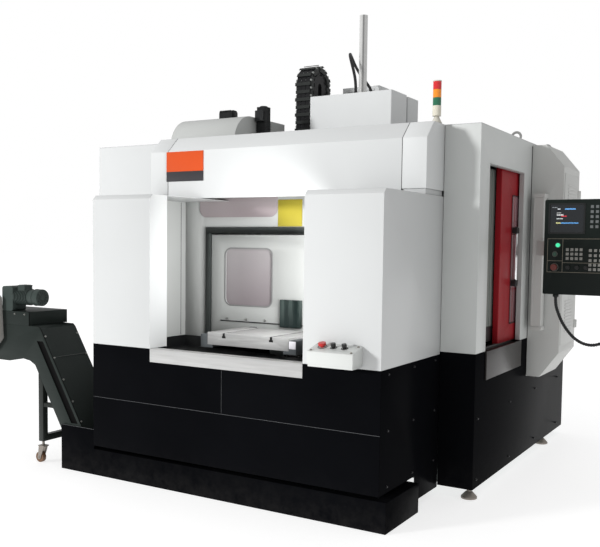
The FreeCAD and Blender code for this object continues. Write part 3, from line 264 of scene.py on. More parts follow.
def tinted_pane(name, low_colour, high_colour, low, high, alpha, roughness=0.08):
    """Sheet whose colour runs from one tint low down to another high up, a painted reflection, with a broad
    soft painted sheen across it.
    """
    shop = Shop(name)
    # painted reflection: the colour changes with height
    share = shop.axis("z").ramp(low, high)
    # painted sheen: broad soft patches across the sheet
    painted_sheen = shop.noise(2.2, 3.0, 0.5)
    return shop.finish(
        base_color=shop.blend(share + (painted_sheen - 0.5) * 0.5, low_colour, high_colour),
        roughness=roughness + painted_sheen * 0.08,
        alpha=alpha,
        coat_weight=0.6,
        coat_roughness=0.04,
    )


def banded_lamps(name):
    """Ivory body below three ribbed lit lenses, green, amber and red, and a pale cap above them."""
    shop = Shop(name)
    height = shop.axis("z")
    ivory = (0.60, 0.57, 0.48)
    levels = [
        (2.4035, (0.008, 0.11, 0.055)),
        (2.4515, (0.70, 0.22, 0.01)),
        (2.4995, (0.50, 0.012, 0.016)),
        (2.5475, (0.50, 0.48, 0.43)),
    ]
    colour = shop.blend(shop.noise(40.0).spread(), tone(ivory, 0.94), ivory)
    for level, shade in levels:
        colour = shop.blend(height > level, colour, shade)
    lenses_foot, lenses_top = levels[0][0], levels[-1][0]
    lit = (height > lenses_foot) * (height < lenses_top)
    ribs = (height * 420.0).wrapped(1.0)
    return shop.finish(
        base_color=colour,
        roughness=0.28 + ribs * 0.08,
        normal=shop.bump(ribs * lit, 0.4, 0.0006),
        emission_color=shop.blend(lit, (0.0, 0.0, 0.0), colour),
        emission_strength=0.08,
        coat_weight=lit * 0.3,
    )


def drawn_tube(name):
    """Bright drawn tube with a painted dark reflection line, the one that a deep guide groove leaves on it.
    """
    shop = Shop(name)
    lines = shop.noise(60.0, 3.0, 0.5, (1.0, 1.0, 0.02))
    # painted reflection: a dark band down the tube's length
    dark_reflection_band = shop.axis("x").ramp(0.036, 0.044) * shop.axis("x").ramp(0.056, 0.048)
    bright = shop.blend(lines, (0.58, 0.58, 0.57), (0.74, 0.74, 0.73))
    return shop.finish(
        base_color=shop.blend(dark_reflection_band * 0.75, bright, (0.10, 0.10, 0.10)),
        metallic=0.5,
        roughness=0.22 + lines * 0.12,
        normal=shop.bump(lines, 0.1, 0.0004),
    )


def display_and_keys(name):
    """Dark display with rows of coloured grains, beside pale membrane keys."""
    shop = Shop(name)
    x, z = shop.axis("x"), shop.axis("z")
    display = (x < 1.806) * (z > 1.645)
    grains = shop.noise(600.0, 1.0, 0.2, (1.0, 1.0, 0.25)) > 0.48
    colour = (0.0045, 0.006, 0.008)
    rows = [
        (1.617, 1.650, 1.800, 1.804, (0.30, 0.32, 0.34)), (1.650, 1.667, 1.789, 1.795, (0.80, 0.85, 0.9)),
        (1.694, 1.757, 1.788, 1.796, (0.15, 0.45, 0.95)), (1.645, 1.672, 1.766, 1.771, (0.5, 0.5, 0.5)),
        (1.645, 1.686, 1.752, 1.760, (0.8, 0.8, 0.8)), (1.672, 1.706, 1.745, 1.751, (0.75, 0.03, 0.05)),
        (1.645, 1.682, 1.730, 1.736, (0.65, 0.7, 0.7)), (1.642, 1.670, 1.703, 1.711, (0.8, 0.78, 0.35)),
        (1.670, 1.775, 1.703, 1.711, (0.12, 0.40, 0.85)),
    ]
    for left, right, low, high, shade in rows:
        row = (x > left) * (x < right) * (z > low) * (z < high)
        colour = shop.blend(row * (grains * 0.55 + 0.2), colour, shade)
    keys = shop.blend(z > 1.63, (0.30, 0.29, 0.26), (0.085, 0.10, 0.10))
    worn = shop.noise(300.0, 2.0).spread()
    return shop.finish(
        base_color=shop.blend(display, shop.blend(worn, (0.1, 0.1, 0.1), keys), colour),
        roughness=0.42 - display * 0.28,
        emission_color=shop.blend(display, (0.0, 0.0, 0.0), colour),
        emission_strength=0.25,
        coat_weight=display * 0.15,
        normal=shop.bump(worn, 0.1, 0.0003),
    )


def lit_cap(name, colour, strength):
    """Translucent push-button cap with a lamp behind it, brighter in the middle of its moulded facets."""
    shop = Shop(name)
    facets = shop.noise(220.0, 2.0)
    return shop.finish(
        base_color=shop.blend(facets, tone(colour, 0.7), colour),
        roughness=0.25 + facets * 0.1,
        emission_color=shop.blend(facets, tone(colour, 0.5), colour),
        emission_strength=strength,
        normal=shop.bump(facets, 0.2, 0.0004),
    )


def two_finishes(name, mask_of, first, second, gloss=0.4):
    """One surface with two finishes, each (colour, roughness, metallic), parted by a mask on the place."""
    shop = Shop(name)
    mask = mask_of(shop)
    lines = shop.noise(80.0, 4.0, 0.6, (0.06, 1.0, 1.0))
    colour = shop.blend(mask, tone(first[0], 0.92), tone(second[0], 0.92))
    bright = shop.blend(mask, tone(first[0], 1.08), tone(second[0], 1.08))
    return shop.finish(
        base_color=shop.blend(lines.spread(), colour, bright),
        roughness=mask * (second[1] - first[1]) + first[1] + lines * 0.1,
        metallic=mask * (second[2] - first[2]) + first[2],
        normal=shop.bump(lines, 0.08, 0.0004),
        specular_ior_level=gloss,
    )


# ---------------------------------------------------------------- modelling by hand
def clear_selection():
    if bpy.context.object and bpy.context.object.mode != "OBJECT":
        bpy.ops.object.mode_set(mode="OBJECT")
    bpy.ops.object.select_all(action="DESELECT")


def activate(piece):
    clear_selection()
    piece.select_set(True)
    bpy.context.view_layer.objects.active = piece
    return piece


def settle():
    """The active object's place goes into its mesh."""
    bpy.ops.object.transform_apply(location=True, rotation=True, scale=True)
    return bpy.context.object


def cuboid(low, high):
    """Block between two opposite corners."""
    clear_selection()
    low, high = Vector(low), Vector(high)
    bpy.ops.mesh.primitive_cube_add(size=1, location=(low + high) / 2)
    bpy.context.object.scale = high - low
    return settle()


def round_bar(centre, radius, length, axis="z", sides=32):
    """Cylinder along an axis, its middle at the centre."""
    turns = {"x": (0, math.pi / 2, 0), "y": (-math.pi / 2, 0, 0), "z": (0, 0, 0)}
    clear_selection()
    bpy.ops.mesh.primitive_cylinder_add(vertices=sides, radius=radius, depth=length,
                                        location=centre, rotation=turns[axis])
    return settle()


def bead_ring(place, radius, bead, sides=36):
    """Rounded ring, such as one round a button, laid at a place given as a matrix."""
    clear_selection()
    bpy.ops.mesh.primitive_torus_add(major_radius=radius, minor_radius=bead,
                                     major_segments=sides, minor_segments=10)
    ring = bpy.context.object
    ring.data.transform(place)
    return ring


@contextmanager
def editing(piece):
    """Edit mode on one piece, with nothing selected to begin with."""
    activate(piece)
    bpy.ops.object.mode_set(mode="EDIT")
    bpy.ops.mesh.select_mode(type="FACE")
    bpy.ops.mesh.select_all(action="DESELECT")
    yield
    bpy.ops.object.mode_set(mode="OBJECT")


def pick_faces(piece, wanted):
    """Selects in edit mode the faces whose middle and normal pass the test."""
    mesh = bmesh.from_edit_mesh(piece.data)
    for face in mesh.faces:
        face.select_set(bool(wanted(face.calc_center_median(), face.normal)))
    mesh.select_flush_mode()
    bmesh.update_edit_mesh(piece.data)


def facing(way):
    """Test for faces that look along a direction."""
    way = Vector(way)
    return lambda middle, normal: normal.dot(way) > 0.9


def rounded_edges(piece, width, segments=2):
    """Bevels a piece's corners and shades its flats flat."""
    activate(piece)
    bevel = piece.modifiers.new("edges", "BEVEL")
    bevel.width = width
    bevel.segments = segments
    bevel.limit_method = "ANGLE"
    bevel.angle_limit = BEVEL_FROM
    bevel.use_clamp_overlap = True
    bpy.ops.object.modifier_apply(modifier=bevel.name)
    bpy.ops.object.shade_smooth_by_angle(angle=SMOOTH_BELOW)
    return piece


def dished(piece, way, rim, depth):
    """Sinks the face that looks along a direction, inside a rim. A negative depth raises it."""
    with editing(piece):
        pick_faces(piece, facing(way))
        bpy.ops.mesh.inset(thickness=rim, depth=0)
        bpy.ops.mesh.extrude_region_shrink_fatten(TRANSFORM_OT_shrink_fatten={"value": -depth})
    return piece


def slab(low, high, edge, segments=1):
    """Bar or sheet between two opposite corners, its edges rounded."""
    return rounded_edges(cuboid(low, high), edge, segments)


def raised_plate(low, high, way, rim, rise, edge):
    """Plate whose middle stands proud of its rim, on the side that looks along a direction."""
    return rounded_edges(dished(cuboid(low, high), way, rim, -rise), edge)


def rounded_ring(name, low, high, radius, width, axis="y"):
    """Flat band round a rounded opening. It fills the box from low to high, whose thin side is the axis."""
    low, high = Vector(low), Vector(high)
    side = {"x": 0, "y": 1}[axis]
    upright = Matrix.Rotation(math.pi / 2, 4, "X")
    turn = {"y": upright, "x": Matrix.Rotation(math.pi / 2, 4, "Z") @ upright}[axis]
    size = high - low
    clear_selection()
    bpy.ops.mesh.primitive_plane_add(size=1)
    plane = bpy.context.object
    plane.scale = (size[1 - side], size.z, 1)
    settle()
    with editing(plane):
        bpy.ops.mesh.select_all(action="SELECT")
        bpy.ops.mesh.bevel(offset=radius, segments=8, affect="VERTICES")
        pick_faces(plane, lambda middle, normal: True)
        bpy.ops.mesh.inset(thickness=width, depth=0)
        bpy.ops.mesh.delete(type="ONLY_FACE")
        bpy.ops.mesh.select_all(action="SELECT")
        bpy.ops.mesh.extrude_region_move(TRANSFORM_OT_translate={"value": (0, 0, size[side])})
        bpy.ops.mesh.select_all(action="SELECT")
        bpy.ops.mesh.normals_make_consistent(inside=False)
    centred = Matrix.Translation((0, 0, -size[side] / 2))
    plane.data.transform(Matrix.Translation((low + high) / 2) @ turn @ centred)
    plane.name = name
    plane.data.name = name
    return plane


def joined(name, pieces):
    """One named piece out of several."""
    clear_selection()
    for piece in pieces:
        piece.select_set(True)
    bpy.context.view_layer.objects.active = pieces[0]
    if len(pieces) > 1:
        bpy.ops.object.join()
    whole = bpy.context.object
    whole.name = name
    whole.data.name = name
    return whole


def repeated(piece, moves):
    """One copy of a piece, with its own mesh, for each move, a step or a matrix. The pattern itself goes."""
    made = []
    for move in moves:
        twin = piece.copy()
        twin.data = piece.data.copy()
        twin.data.transform(move if isinstance(move, Matrix) else Matrix.Translation(move))
        bpy.context.scene.collection.objects.link(twin)
        made.append(twin)
    bpy.data.objects.remove(piece)
    return made


def rising(start, pitch, count):
    """Steps up from a height, evenly spaced."""
    return [(0, 0, start + pitch * i) for i in range(count)]


def louvres(low, high, crest, edge, places):
    """Like blades at the given places, each narrowed towards its top by the crest's shares."""
    blade = cuboid(low, high)
    with editing(blade):
        pick_faces(blade, facing(UP))
        bpy.ops.transform.resize(value=crest)
    return repeated(rounded_edges(blade, edge, 1), places)


def fit(piece, body, material, smooth=True):
    """Gives a finished piece its material and the body that carries it."""
    activate(piece)
    if smooth:
        bpy.ops.object.shade_smooth_by_angle(angle=SMOOTH_BELOW)
    piece.data.materials.clear()
    piece.data.materials.append(material)
    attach(piece, body)
    return piece


def mounted(name, pieces, body, material):
    """Joins pieces under one name and fits the whole to the body that carries it."""
    return fit(joined(name, pieces), body, material)


def sheet_copy(node, width, material, slot):
    """Copy of a metal node with its edges rounded as bent sheet has them. It stands for the node."""
    source = activate(frame["nodes"][node])
    twin = source.copy()
    twin.data = source.data.copy()
    bpy.context.scene.collection.objects.link(twin)
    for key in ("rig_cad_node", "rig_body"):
        del twin[key]
    twin.parent = None
    twin.name = f"{node}_formed"
    twin.data.name = twin.name
    with editing(twin):
        bpy.ops.mesh.select_all(action="SELECT")
        bpy.ops.mesh.remove_doubles(threshold=0.00002)
        bpy.ops.mesh.dissolve_limited(angle_limit=math.radians(1.0))
    rounded_edges(twin, width)
    reach = [(min(axis), max(axis)) for axis in zip(*(vertex.co for vertex in source.data.vertices))]
    for vertex in twin.data.vertices:
        vertex.co = [min(max(place, low), high) for place, (low, high) in zip(vertex.co, reach)]
    fit(twin, source["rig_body"], material, smooth=False)
    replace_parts(twin, node)


def paint_node(node, material):
    """Gives a node of the frame its finish."""
    data = frame["nodes"][node].data
    data.materials.clear()
    data.materials.append(material)


def hex_bolt(place, way, size):
    """Hexagon head on a washer, standing out along a direction."""
    washer = round_bar((0, 0, size * 0.06), size * 0.62, size * 0.12, sides=20)
    hexagon = rounded_edges(round_bar((0, 0, size * 0.37), size * 0.5, size * 0.5, sides=6), size * 0.05, 1)
    bolt = joined("bolt", [washer, hexagon])
    turn = Vector(way).to_track_quat("Z", "Y").to_matrix().to_4x4()
    bolt.data.transform(Matrix.Translation(place) @ turn)
    return bolt


def bolt_row(name, places, way, size, body, material):
    """Like bolts at the given places."""
    bolts = repeated(hex_bolt((0, 0, 0), way, size), [Vector(place) for place in places])
    return mounted(name, bolts, body, material)


# ---------------------------------------------------------------- what a user may change
class CoverLooks(bpy.types.PropertyGroup):
    """Colours and edges of the sheet covers."""
    white: bpy.props.FloatVectorProperty(name="White covers", description="Colour of the front covers",
                                         subtype="COLOR", default=(0.53, 0.54, 0.54))
    side: bpy.props.FloatVectorProperty(name="Side walls", description="Colour of the rear cabin's walls",
                                        subtype="COLOR", default=(0.53, 0.545, 0.535))
    cabinet: bpy.props.FloatVectorProperty(name="Cabinet", description="Colour of the cabinet and the arm",
                                           subtype="COLOR", default=(0.52, 0.525, 0.51))
    base: bpy.props.FloatVectorProperty(name="Base", description="Colour of the gloss base sheets",
                                        subtype="COLOR", default=(0.0032, 0.0034, 0.0042))
    door: bpy.props.FloatVectorProperty(name="Operator door", description="Colour of the sliding leaf",
                                        subtype="COLOR", default=(0.30, 0.012, 0.018))
    fold: bpy.props.FloatProperty(name="Fold radius", description="Outer radius of bent sheet edges",
                                  subtype="DISTANCE", unit="LENGTH", default=0.003, min=0.0005, max=0.01)


class StageLooks(bpy.types.PropertyGroup):
    """Floor and lights."""
    floor: bpy.props.FloatVectorProperty(name="Floor", description="Colour of the pale floor",
                                         subtype="COLOR", default=(0.88, 0.88, 0.88))
    sky: bpy.props.FloatProperty(name="Sky", description="Strength of the even light from all round",
                                 default=0.56, min=0.0)
    key: bpy.props.FloatProperty(name="Key light", description="Strength of the front light",
                                 default=3.0, min=0.0)


class StudioStage(bpy.types.Operator):
    """Pale floor, soft studio lights and the camera"""
    bl_idname = "machine.studio_stage"
    bl_label = "Studio stage"

    camera_place = (2.901, -5.476, 1.554)
    camera_right = (0.8583, 0.5129, 0.0123)
    camera_ahead = (-0.5113, 0.8571, -0.0634)
    lens, sensor = 49.7, 36.0
    shift = (0.003, 0.040)
    white = (1.0, 1.0, 1.0, 1.0)

    def execute(self, context):
        looks = context.scene.stage_looks
        self.floor(looks.floor)
        self.sky(context.scene, looks.sky)
        self.sun("key", (-0.78, -1.0, 0.22), looks.key, 9.0)
        self.sun("overhead", (-0.15, 0.25, 1.0), looks.key * 0.08, 60.0)
        self.bay_fill()
        self.camera(context.scene)
        context.scene.view_settings.view_transform = "Standard"
        return {"FINISHED"}

    def floor(self, colour):
        clear_selection()
        bpy.ops.mesh.primitive_plane_add(size=160, location=(0, 0, 0))
        floor = bpy.context.object
        floor.name = "studio_floor"
        shop = Shop("studio_floor")
        pale = shop.blend(shop.noise(0.5, 2.0), colour, tone(colour, 0.985))
        shop.finish(
            base_color=tone(colour, 0.56),
            roughness=0.7,
            emission_color=pale,
            emission_strength=0.80,
            specular_ior_level=0.1,
        )
        floor.data.materials.append(shop.material)

    def sky(self, scene, strength):
        """Even light from all round, with plain white behind the machine."""
        scene.world = scene.world or bpy.data.worlds.new("studio")
        scene.world.use_nodes = True
        tree = scene.world.node_tree
        light = tree.nodes["Background"]
        light.inputs["Color"].default_value = self.white
        light.inputs["Strength"].default_value = strength
        backdrop = tree.nodes.new("ShaderNodeBackground")
        backdrop.inputs["Color"].default_value = self.white
        path = tree.nodes.new("ShaderNodeLightPath")
        choice = tree.nodes.new("ShaderNodeMixShader")
        tree.links.new(path.outputs["Is Camera Ray"], choice.inputs[0])
        tree.links.new(light.outputs[0], choice.inputs[1])
        tree.links.new(backdrop.outputs[0], choice.inputs[2])
        tree.links.new(choice.outputs[0], tree.nodes["World Output"].inputs["Surface"])

    def lamp(self, name, kind, place, towards):
        """A lamp whose light comes from the given direction, unseen in reflections."""
        clear_selection()
        bpy.ops.object.light_add(type=kind, location=place)
        lamp = bpy.context.object
        lamp.name = f"studio_{name}"
        lamp.visible_glossy = False
        lamp.rotation_euler = Vector(towards).to_track_quat("Z", "Y").to_euler()
        return lamp

    def sun(self, name, towards, strength, softness):
        sun = self.lamp(name, "SUN", (0, 0, 8), towards)
        sun.data.energy = strength
        sun.data.angle = math.radians(softness)

    def bay_fill(self):
        """Soft lamp in the loading opening that lights the bay behind it."""
        fill = self.lamp("fill", "AREA", (0.455, -1.22, 1.42), (0.96, -0.28, 0.0))
        fill.data.shape = "RECTANGLE"
        fill.data.size = 0.55
        fill.data.size_y = 0.7
        fill.data.energy = 11.5
        fill.data.spread = math.radians(125.0)
        fill.visible_camera = False

    def camera(self, scene):
        clear_selection()
        bpy.ops.object.camera_add()
        camera = bpy.context.object
        camera.name = "studio_camera"
        right = Vector(self.camera_right).normalized()
        ahead = Vector(self.camera_ahead)
        ahead = (ahead - right * ahead.dot(right)).normalized()
        turn = Matrix((right, right.cross(ahead), -ahead)).transposed()
        camera.matrix_world = Matrix.Translation(self.camera_place) @ turn.to_4x4()
        camera.data.lens = self.lens
        camera.data.sensor_width = self.sensor
        camera.data.shift_x, camera.data.shift_y = self.shift
        camera.data.clip_end = 300.0
        scene.camera = camera


# ---------------------------------------------------------------- cords
HOSE_ROUTE = [
    (0.026, 0.150, 2.6903), (0.026, 0.150, 2.7443), (0.020, 0.150, 2.8023), (0.006, 0.151, 2.8603),
    (-0.014, 0.158, 2.9163), (-0.038, 0.178, 2.9683), (-0.063, 0.216, 3.0063), (-0.084, 0.266, 3.0183),
    (-0.092, 0.314, 2.9943), (-0.080, 0.342, 2.9443), (-0.050, 0.350, 2.8903), (-0.012, 0.350, 2.8403),
    (0.026, 0.350, 2.7943), (0.060, 0.350, 2.7443), (0.060, 0.350, 2.6903),
]
CONDUIT_ROUTE = [
    (1.644, -0.250, 1.252), (1.644, -0.250, 1.202), (1.664, -0.250, 1.148), (1.688, -0.250, 1.094),
    (1.722, -0.250, 1.044), (1.766, -0.250, 0.998), (1.822, -0.250, 0.968), (1.884, -0.250, 0.964),
    (1.944, -0.250, 0.990), (1.992, -0.250, 1.032), (2.026, -0.250, 1.084), (2.048, -0.250, 1.142),
    (2.066, -0.250, 1.198), (2.066, -0.250, 1.252),
]


def route_curve(name, points, radius):
    """Open smooth curve along a cord's route, with a round section."""
    curve = bpy.data.curves.new(name, "CURVE")
    curve.dimensions = "3D"
    curve.resolution_u = 10
    curve.bevel_depth = radius
    curve.bevel_resolution = 6
    curve.use_fill_caps = True
    spline = curve.splines.new("NURBS")
    spline.points.add(len(points) - 1)
    for point, place in zip(spline.points, points):
        point.co = (*place, 1.0)
    spline.order_u = 3
    spline.use_endpoint_u = True
    piece = bpy.data.objects.new(name, curve)
    bpy.context.scene.collection.objects.link(piece)
    return piece


def route_places(points):
    """Places along a route's smooth curve, in order."""
    guide = route_curve("route_guide", points, 0.0)
    bpy.context.view_layer.update()
    mesh = bpy.data.meshes.new_from_object(guide.evaluated_get(bpy.context.evaluated_depsgraph_get()))
    places = [v.co.copy() for v in mesh.vertices]
    bpy.data.meshes.remove(mesh)
    bpy.data.objects.remove(guide)
    return places


def route_length(places):
    """Length of a line through places."""
    return sum((b - a).length for a, b in zip(places, places[1:]))


def stations(places, spacing):
    """Evenly spaced places along a line, each with the line's direction there."""
    total = route_length(places)
    count = round(total / spacing)
    found, walked, index = [], 0.0, 0
    for i in range(count + 1):
        goal = total * i / count
        while index < len(places) - 2 and walked + (places[index + 1] - places[index]).length < goal:
            walked += (places[index + 1] - places[index]).length
            index += 1
        leg = places[index + 1] - places[index]
        found.append((places[index] + leg * min(1.0, (goal - walked) / leg.length), leg.normalized()))
    return found


def corrugated_tube(name, places, valley, crest, pitch, sides=14):
    """Tube whose wall rises and falls along a line, as bendable conduit does."""
    mesh = bmesh.new()
    across = Vector((0, 1, 0))
    rings = []
    for i, (place, way) in enumerate(stations(places, pitch / 4)):
        across = (across - way * across.dot(way)).normalized()
        up = way.cross(across)
        radius = (valley, crest, crest, valley)[i % 4]
        angles = [math.tau * k / sides for k in range(sides)]
        spokes = [across * math.cos(angle) + up * math.sin(angle) for angle in angles]
        rings.append([mesh.verts.new(place + spoke * radius) for spoke in spokes])
    for first, second in zip(rings, rings[1:]):
        for k in range(sides):
            mesh.faces.new((first[k], first[(k + 1) % sides], second[(k + 1) % sides], second[k]))
    mesh.faces.new(rings[0][::-1])
    mesh.faces.new(rings[-1])
    bmesh.ops.recalc_face_normals(mesh, faces=mesh.faces)
    data = bpy.data.meshes.new(name)
    mesh.to_mesh(data)
    mesh.free()
    piece = bpy.data.objects.new(name, data)
    bpy.context.scene.collection.objects.link(piece)
    return piece


class HeadHose(bpy.types.Operator):
    """Smooth black hose looping over the head cover"""
    bl_idname = "machine.head_hose"
    bl_label = "Head hose"

    def execute(self, context):
        places = route_places(HOSE_ROUTE)
        hose = route_curve("head_hose", HOSE_ROUTE, 0.011)
        hose.data.materials.append(moulded("hose_rubber", (0.012, 0.012, 0.013), 0.42, 300.0, 0.15, 0.1))
        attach(hose, "machine")
        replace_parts(hose, "hose_loop")
        route_length(places)
        return {"FINISHED"}


class PendantConduit(bpy.types.Operator):
    """Ribbed conduit hanging in a loop below the pendant"""
    bl_idname = "machine.pendant_conduit"
    bl_label = "Pendant conduit"

    def execute(self, context):
        places = route_places(CONDUIT_ROUTE)
        conduit = corrugated_tube("ribbed_conduit", places, 0.0084, 0.0105, 0.015)
        plastic = moulded("conduit_plastic", (0.014, 0.015, 0.015), 0.42, 400.0, 0.2)
        fit(conduit, "pendant", plastic)
        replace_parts(conduit, "pendant_conduit")
        route_length(places)
        return {"FINISHED"}


# ---------------------------------------------------------------- finishes of the frame's own nodes
class Finishes(bpy.types.Operator):
    """Finishes of the machine's castings, covers and fittings"""
    bl_idname = "machine.finishes"
    bl_label = "Finishes"

    def execute(self, context):
        looks = context.scene.cover_looks
        cabinet = sprayed_paint("cabinet_grey", looks.cabinet, 0.48, 0.05, grime=0.03, gloss=0.3)
        light = sprayed_paint("light_grey", (0.56, 0.575, 0.56), 0.42, 0.1, grime=0.04)
        matt = sprayed_paint("matt_black", (0.008, 0.0085, 0.009), 0.42, 0.1, grime=0.15, gloss=0.3)
        steel = brushed_metal("ground_steel", (0.52, 0.52, 0.51), 0.26, (1.0, 0.06, 1.0))
        zinc = brushed_metal("zinc_plate", (0.30, 0.27, 0.24), 0.36, metallic=0.6, marks=0.15)
        self.covers(looks, cabinet, light, matt)
        self.machine_parts(cabinet, light, matt, steel, zinc)
        self.fittings(steel, zinc)
        return {"FINISHED"}

    def formed(self, sheets):
        """Rounded copies of nodes, each row a name, the rounding's width, the finish and the slot, which is
        not used.
        """
        for sheet in sheets:
            sheet_copy(*sheet)

    def covers(self, looks, cabinet, light, matt):
        """Enclosure, door, conveyor and cabinet."""
        white = sprayed_paint("white_enamel", looks.white, 0.40, 0.12, grime=0.02, gloss=0.35)
        # painted light: a lighter copy of the white paint for the beam, the head cover and the left and rear
        # walls
        lit_white = sprayed_paint("white_enamel_lit", tone(looks.white, 1.08), 0.40, 0.12, grime=0.02, gloss=0.35)
        side = sprayed_paint("side_enamel", looks.side, 0.42, 0.1, grime=0.03, gloss=0.35)
        base = sprayed_paint("base_gloss", looks.base, 0.28, 0.0, grime=0.2, dust_top=0.35, gloss=0.004)
        red = sprayed_paint("door_red", looks.door, 0.34, 0.05, grime=0.06, gloss=0.12)
        inner = sprayed_paint("inner_grey", (0.45, 0.46, 0.45), 0.45, 0.1, grime=0.04)
        hood = sprayed_paint("hood_grey", (0.43, 0.44, 0.43), 0.42, 0.1, grime=0.04)
        stand = sprayed_paint("stand_paint", (0.014, 0.017, 0.015), 0.4, 0.1, grime=0.15, gloss=0.3)
        threshold_rear = -1.3
        lips = two_finishes(
            "threshold_and_sill", lambda shop: shop.axis("y") > threshold_rear,
            ((0.50, 0.50, 0.495), 0.38, 0.4), ((0.022, 0.019, 0.018), 0.24, 0.1))
        # painted shade: the casing's recessed channel between these two faces is painted near black
        groove_front, groove_rear = -1.4575, -1.4515
        green = two_finishes(
            "conveyor_dark", lambda shop: (shop.axis("y") > groove_front) * (shop.axis("y") < groove_rear),
            ((0.019, 0.024, 0.022), 0.38, 0.0), ((0.0015, 0.0015, 0.0015), 0.6, 0.0), gloss=0.1)
        fold = looks.fold
        self.formed([
            ("base_panels", 0.0012, base, "black_paint"),
            ("pillar_covers", 0.005, white, "white_paint"),
            ("beam_covers", 0.004, lit_white, "white_paint"),
            ("roof_covers", 0.004, white, "white_paint"),
            ("side_wall_right", 0.004, side, "grey_paint"),
            ("left_and_rear_walls", 0.004, lit_white, "grey_paint"),
            ("bay_walls", fold, inner, "grey_paint"),
            ("bay_tray", fold, matt, "matt_black"),
            ("sills_and_tracks", 0.0015, lips, "bright_steel"),
            ("operator_door", fold, red, "red_paint"),
            ("coolant_tank", fold, base, "black_paint"),
            ("conveyor_casing", fold, green, "conveyor_green"),
            ("conveyor_stand", fold, stand, "conveyor_green"),
            ("head_cover", 0.006, lit_white, "white_paint"),
            ("magazine_hood", fold, hood, "light_grey_paint"),
            ("cabinet_shell", 0.004, cabinet, "cabinet_paint"),
            ("cabinet_door", 0.002, cabinet, "cabinet_paint"),
            ("button_box", 0.004, light, "light_grey_paint"),
        ])

    def machine_parts(self, cabinet, light, matt, steel, zinc):
        """Changer, castings, drives, pendant, feet and handle."""
        panel = sprayed_paint("panel_grey", (0.385, 0.395, 0.385), 0.42, 0.1, grime=0.04)
        milled = brushed_metal("milled_iron", (0.42, 0.42, 0.415), 0.42, (0.06, 1.0, 1.0), metallic=0.35)
        fork = rough_casting("fork_casting", (0.070, 0.078, 0.082))
        casting = rough_casting("casting_grey", (0.26, 0.29, 0.28))
        rubber = moulded("seal_rubber", (0.042, 0.048, 0.046), 0.5)
        shell = moulded("pendant_shell", (0.006, 0.009, 0.0078), 0.42, 700.0, 0.4, gloss=0.15)
        guard_face = -1.4612
        motor = two_finishes(
            "drive_and_guard", lambda shop: shop.axis("y") < guard_face,
            ((0.034, 0.046, 0.042), 0.45, 0.0), ((0.36, 0.35, 0.33), 0.4, 0.0), gloss=0.25)
        grip_foot, grip_head = 1.3295, 1.6505
        handle = two_finishes(
            "handle_bar", lambda shop: (shop.axis("z") < grip_foot) + (shop.axis("z") > grip_head),
            ((0.86, 0.86, 0.87), 0.04, 1.0), ((0.010, 0.010, 0.010), 0.4, 0.0))
        self.formed([
            ("pallets", 0.002, milled, "machined_steel"),
            ("changer_arm", 0.004, fork, "light_grey_paint"),
            ("partition_panel", 0.003, panel, "light_grey_paint"),
            ("bed_casting", 0.006, casting, "cast_iron"),
            ("column_casting", 0.006, casting, "cast_iron"),
            ("saddle", 0.004, casting, "cast_iron"),
            ("work_table", 0.004, casting, "cast_iron"),
            ("spindle_head", 0.006, light, "light_grey_paint"),
            ("magazine_drive", 0.004, matt, "matt_black"),
            ("conveyor_gearmotor", 0.004, motor, "motor_grey"),
            ("pendant_arm", 0.004, cabinet, "cabinet_paint"),
            ("pendant_housing", 0.006, shell, "pendant_plastic"),
            ("partition_seal", 0.004, rubber, "seal_rubber"),
            ("tool_change_arm", 0.003, steel, "machined_steel"),
            ("levelling_feet", 0.002, zinc, "machined_steel"),
            ("axis_fittings", 0.003, steel, "machined_steel"),
            ("door_handle", 0.002, handle, "bright_steel"),
            ("magazine_disc", 0.003, steel, "machined_steel"),
        ])

    def fittings(self, steel, zinc):
        """Finishes of the nodes that keep their own shape."""
        bright = brushed_metal("bright_steel", (0.70, 0.70, 0.69), 0.14, (0.05, 1.0, 1.0), marks=0.05)
        pane = tinted_pane("door_pane", (0.20, 0.075, 0.09), (0.42, 0.24, 0.27), 1.0, 1.9, 0.94, 0.2)
        mauve = tinted_pane("partition_pane", (0.245, 0.215, 0.226), (0.345, 0.325, 0.33), 1.12, 1.53, 0.96)
        upper = tinted_pane("bay_pane", (0.31, 0.265, 0.275), (0.40, 0.36, 0.36), 1.74, 2.06, 0.96)
        tyre = moulded("caster_tyre", (0.12, 0.065, 0.035), 0.4)
        button = moulded("button_black", (0.014, 0.014, 0.014), 0.3, 200.0, 0.1, 0.3)
        plain = {
            "lift_shaft": bright, "x_ball_screw": bright, "y_ball_screw": bright, "z_ball_screw": bright,
            "spindle": steel, "guide_tube": drawn_tube("drawn_tube"), "door_window": pane,
            "partition_windows": mauve, "upper_window": upper, "caster_fork_front": zinc,
            "caster_fork_rear": zinc, "caster_wheel_front": tyre, "caster_wheel_rear": tyre,
            "pendant_face": display_and_keys("display_and_keys"),
            "signal_tower": banded_lamps("signal_lamps"),
            "box_stop_button": moulded("stop_red", (0.50, 0.02, 0.02), 0.3, 200.0, 0.1, 0.4),
            "box_button_left": button, "box_button_right": button,
            "pendant_start_button": lit_cap("start_green", (0.04, 0.62, 0.30), 1.2),
            "pendant_hold_button": lit_cap("hold_green", (0.01, 0.05, 0.03), 0.1),
            "pendant_stop_button": moulded("stop_dull_red", (0.11, 0.020, 0.015), 0.4, 200.0, 0.1, 0.05),
        }
        for node, material in plain.items():
            paint_node(node, material)


